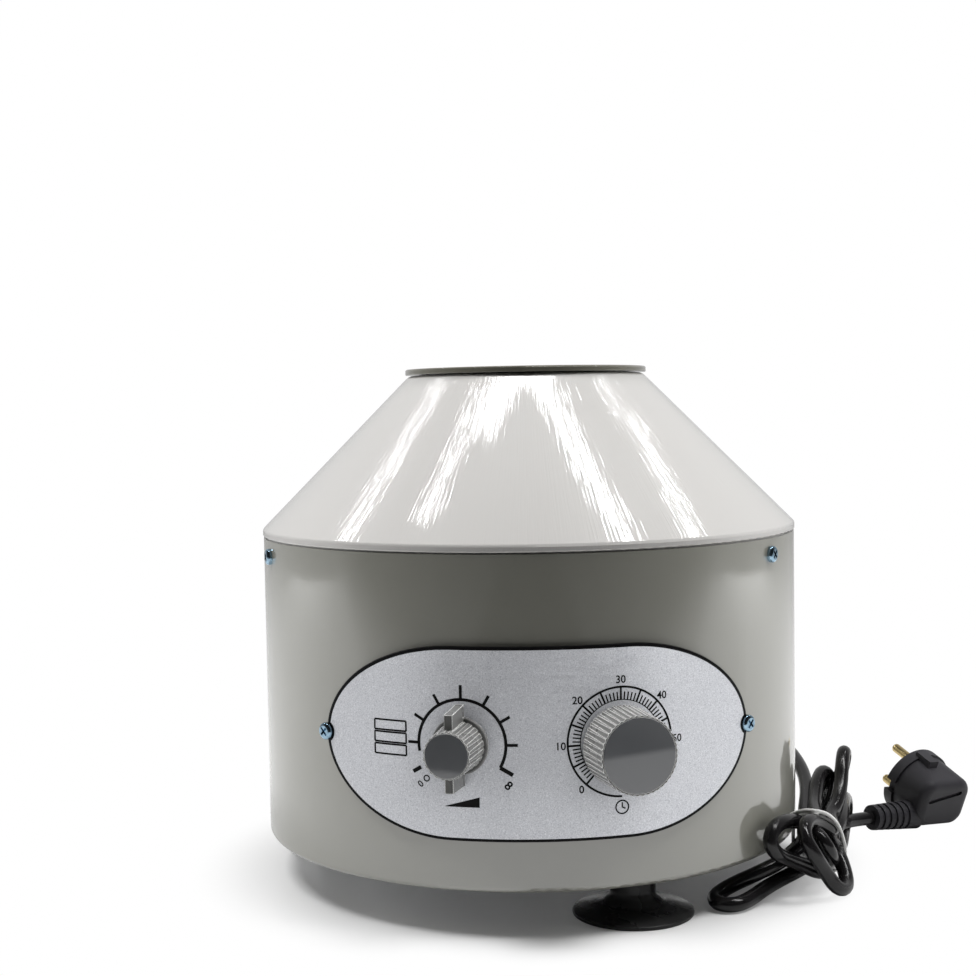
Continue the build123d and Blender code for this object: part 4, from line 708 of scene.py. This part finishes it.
def lamp(name, at, aim, wide, power, tall=None, only=None, in_gloss=False):
    """An oblong lamp. only lists the pieces that it lights, where it doesn't light them all."""
    light = bpy.data.lights.new(name, "AREA")
    light.shape = "RECTANGLE"
    light.size = wide
    light.size_y = tall or wide
    light.energy = power
    made = bpy.data.objects.new(name, light)
    made.location = at
    made.rotation_euler = (Vector(aim) - Vector(at)).to_track_quat("-Z", "Y").to_euler()
    scene.collection.objects.link(made)
    made.visible_glossy = in_gloss
    if only:
        lit = bpy.data.collections.new(name + "_lights")
        for piece in only:
            lit.objects.link(piece)
        made.light_linking.receiver_collection = lit
    return made


def strip(name, start, end, wide, power):
    """A narrow lamp between two points, facing the cone, that shows as a streak in all gloss."""
    start, end = Vector(start), Vector(end)
    middle = (start + end) / 2
    made = lamp(name, middle, CONE_MIDDLE, wide, power, (end - start).length, in_gloss=True)
    back = (made.location - CONE_MIDDLE).normalized()
    along = (end - start) - back * (end - start).dot(back)
    along.normalize()
    made.rotation_euler = Matrix((along.cross(back), along, back)).transposed().to_euler()


# Soft lamps: name, place, width in metres, watts.
for name, at, wide, power in (
    ("soft_left", (-1.38, 0.24, 0.42), 0.7, 8),
    ("soft_right", (1.38, 0.24, 0.42), 0.7, 10),
    ("top_left", (-0.9, -0.2, 1.8), 0.6, 23),
    ("top_right", (0.9, -0.2, 1.8), 0.6, 23),
):
    lamp(name, at, PART_MIDDLE, wide, power)

# Strips: name, one end, the other end, width in metres, watts.
for numbers in (
    ("streak_left", (-0.86, 0.65, 1.42), (-1.06, 0.46, 1.295), 0.025, 0.7),
    ("streak_right", (0.90, 0.55, 1.43), (1.01, 0.30, 1.38), 0.025, 0.7),
    ("streak_right_short", (0.813, 0.487, 1.527), (0.854, 0.443, 1.502), 0.025, 0.12),
    ("arch_left", (-0.50, 0.09, 1.745), (-0.735, 0.035, 1.603), 0.03, 0.6),
    ("arch_top", (-0.43, -0.02, 1.80), (0.30, -0.02, 1.81), 0.06, 2.6),
    ("arch_right", (0.30, -0.03, 1.80), (0.70, -0.062, 1.625), 0.04, 1.4),
):
    strip(*numbers)

# Lamps that light only some pieces, to copy the photograph's uneven light.
cord_pieces = [cord, nodes["plug_body"], nodes["foot_front"]]
lamp("cord_glint", (0.75, -0.25, 1.3), HANK_MIDDLE, wide=0.12, tall=0.7, power=5,
     only=cord_pieces, in_gloss=True)
for side, name in ((1, "speed_knob"), (-1, "timer_knob")):
    at = (side * 0.95, -0.2, 0.6)
    lamp(name + "_fill", at, KNOBS_MIDDLE, wide=0.25, power=5, only=[nodes[name]])
front_pieces = [nodes[name] for name in ("panel_overlay", "speed_knob_cap", "timer_knob_cap")]
front_pieces += [speed_marks, timer_marks]
lamp("panel_fill", (0.35, -0.95, 0.5), PANEL_MIDDLE, wide=0.6, power=4.2, only=front_pieces)
for side, name, power in ((-1, "panel_left", 1.6), (1, "panel_right", 2.2)):
    at = (side * 0.85, -0.65, 0.3)
    lamp(name, at, PANEL_MIDDLE, wide=0.35, power=power, only=[nodes["panel_overlay"]],
         in_gloss=True)

scene.view_settings.view_transform = "Standard"
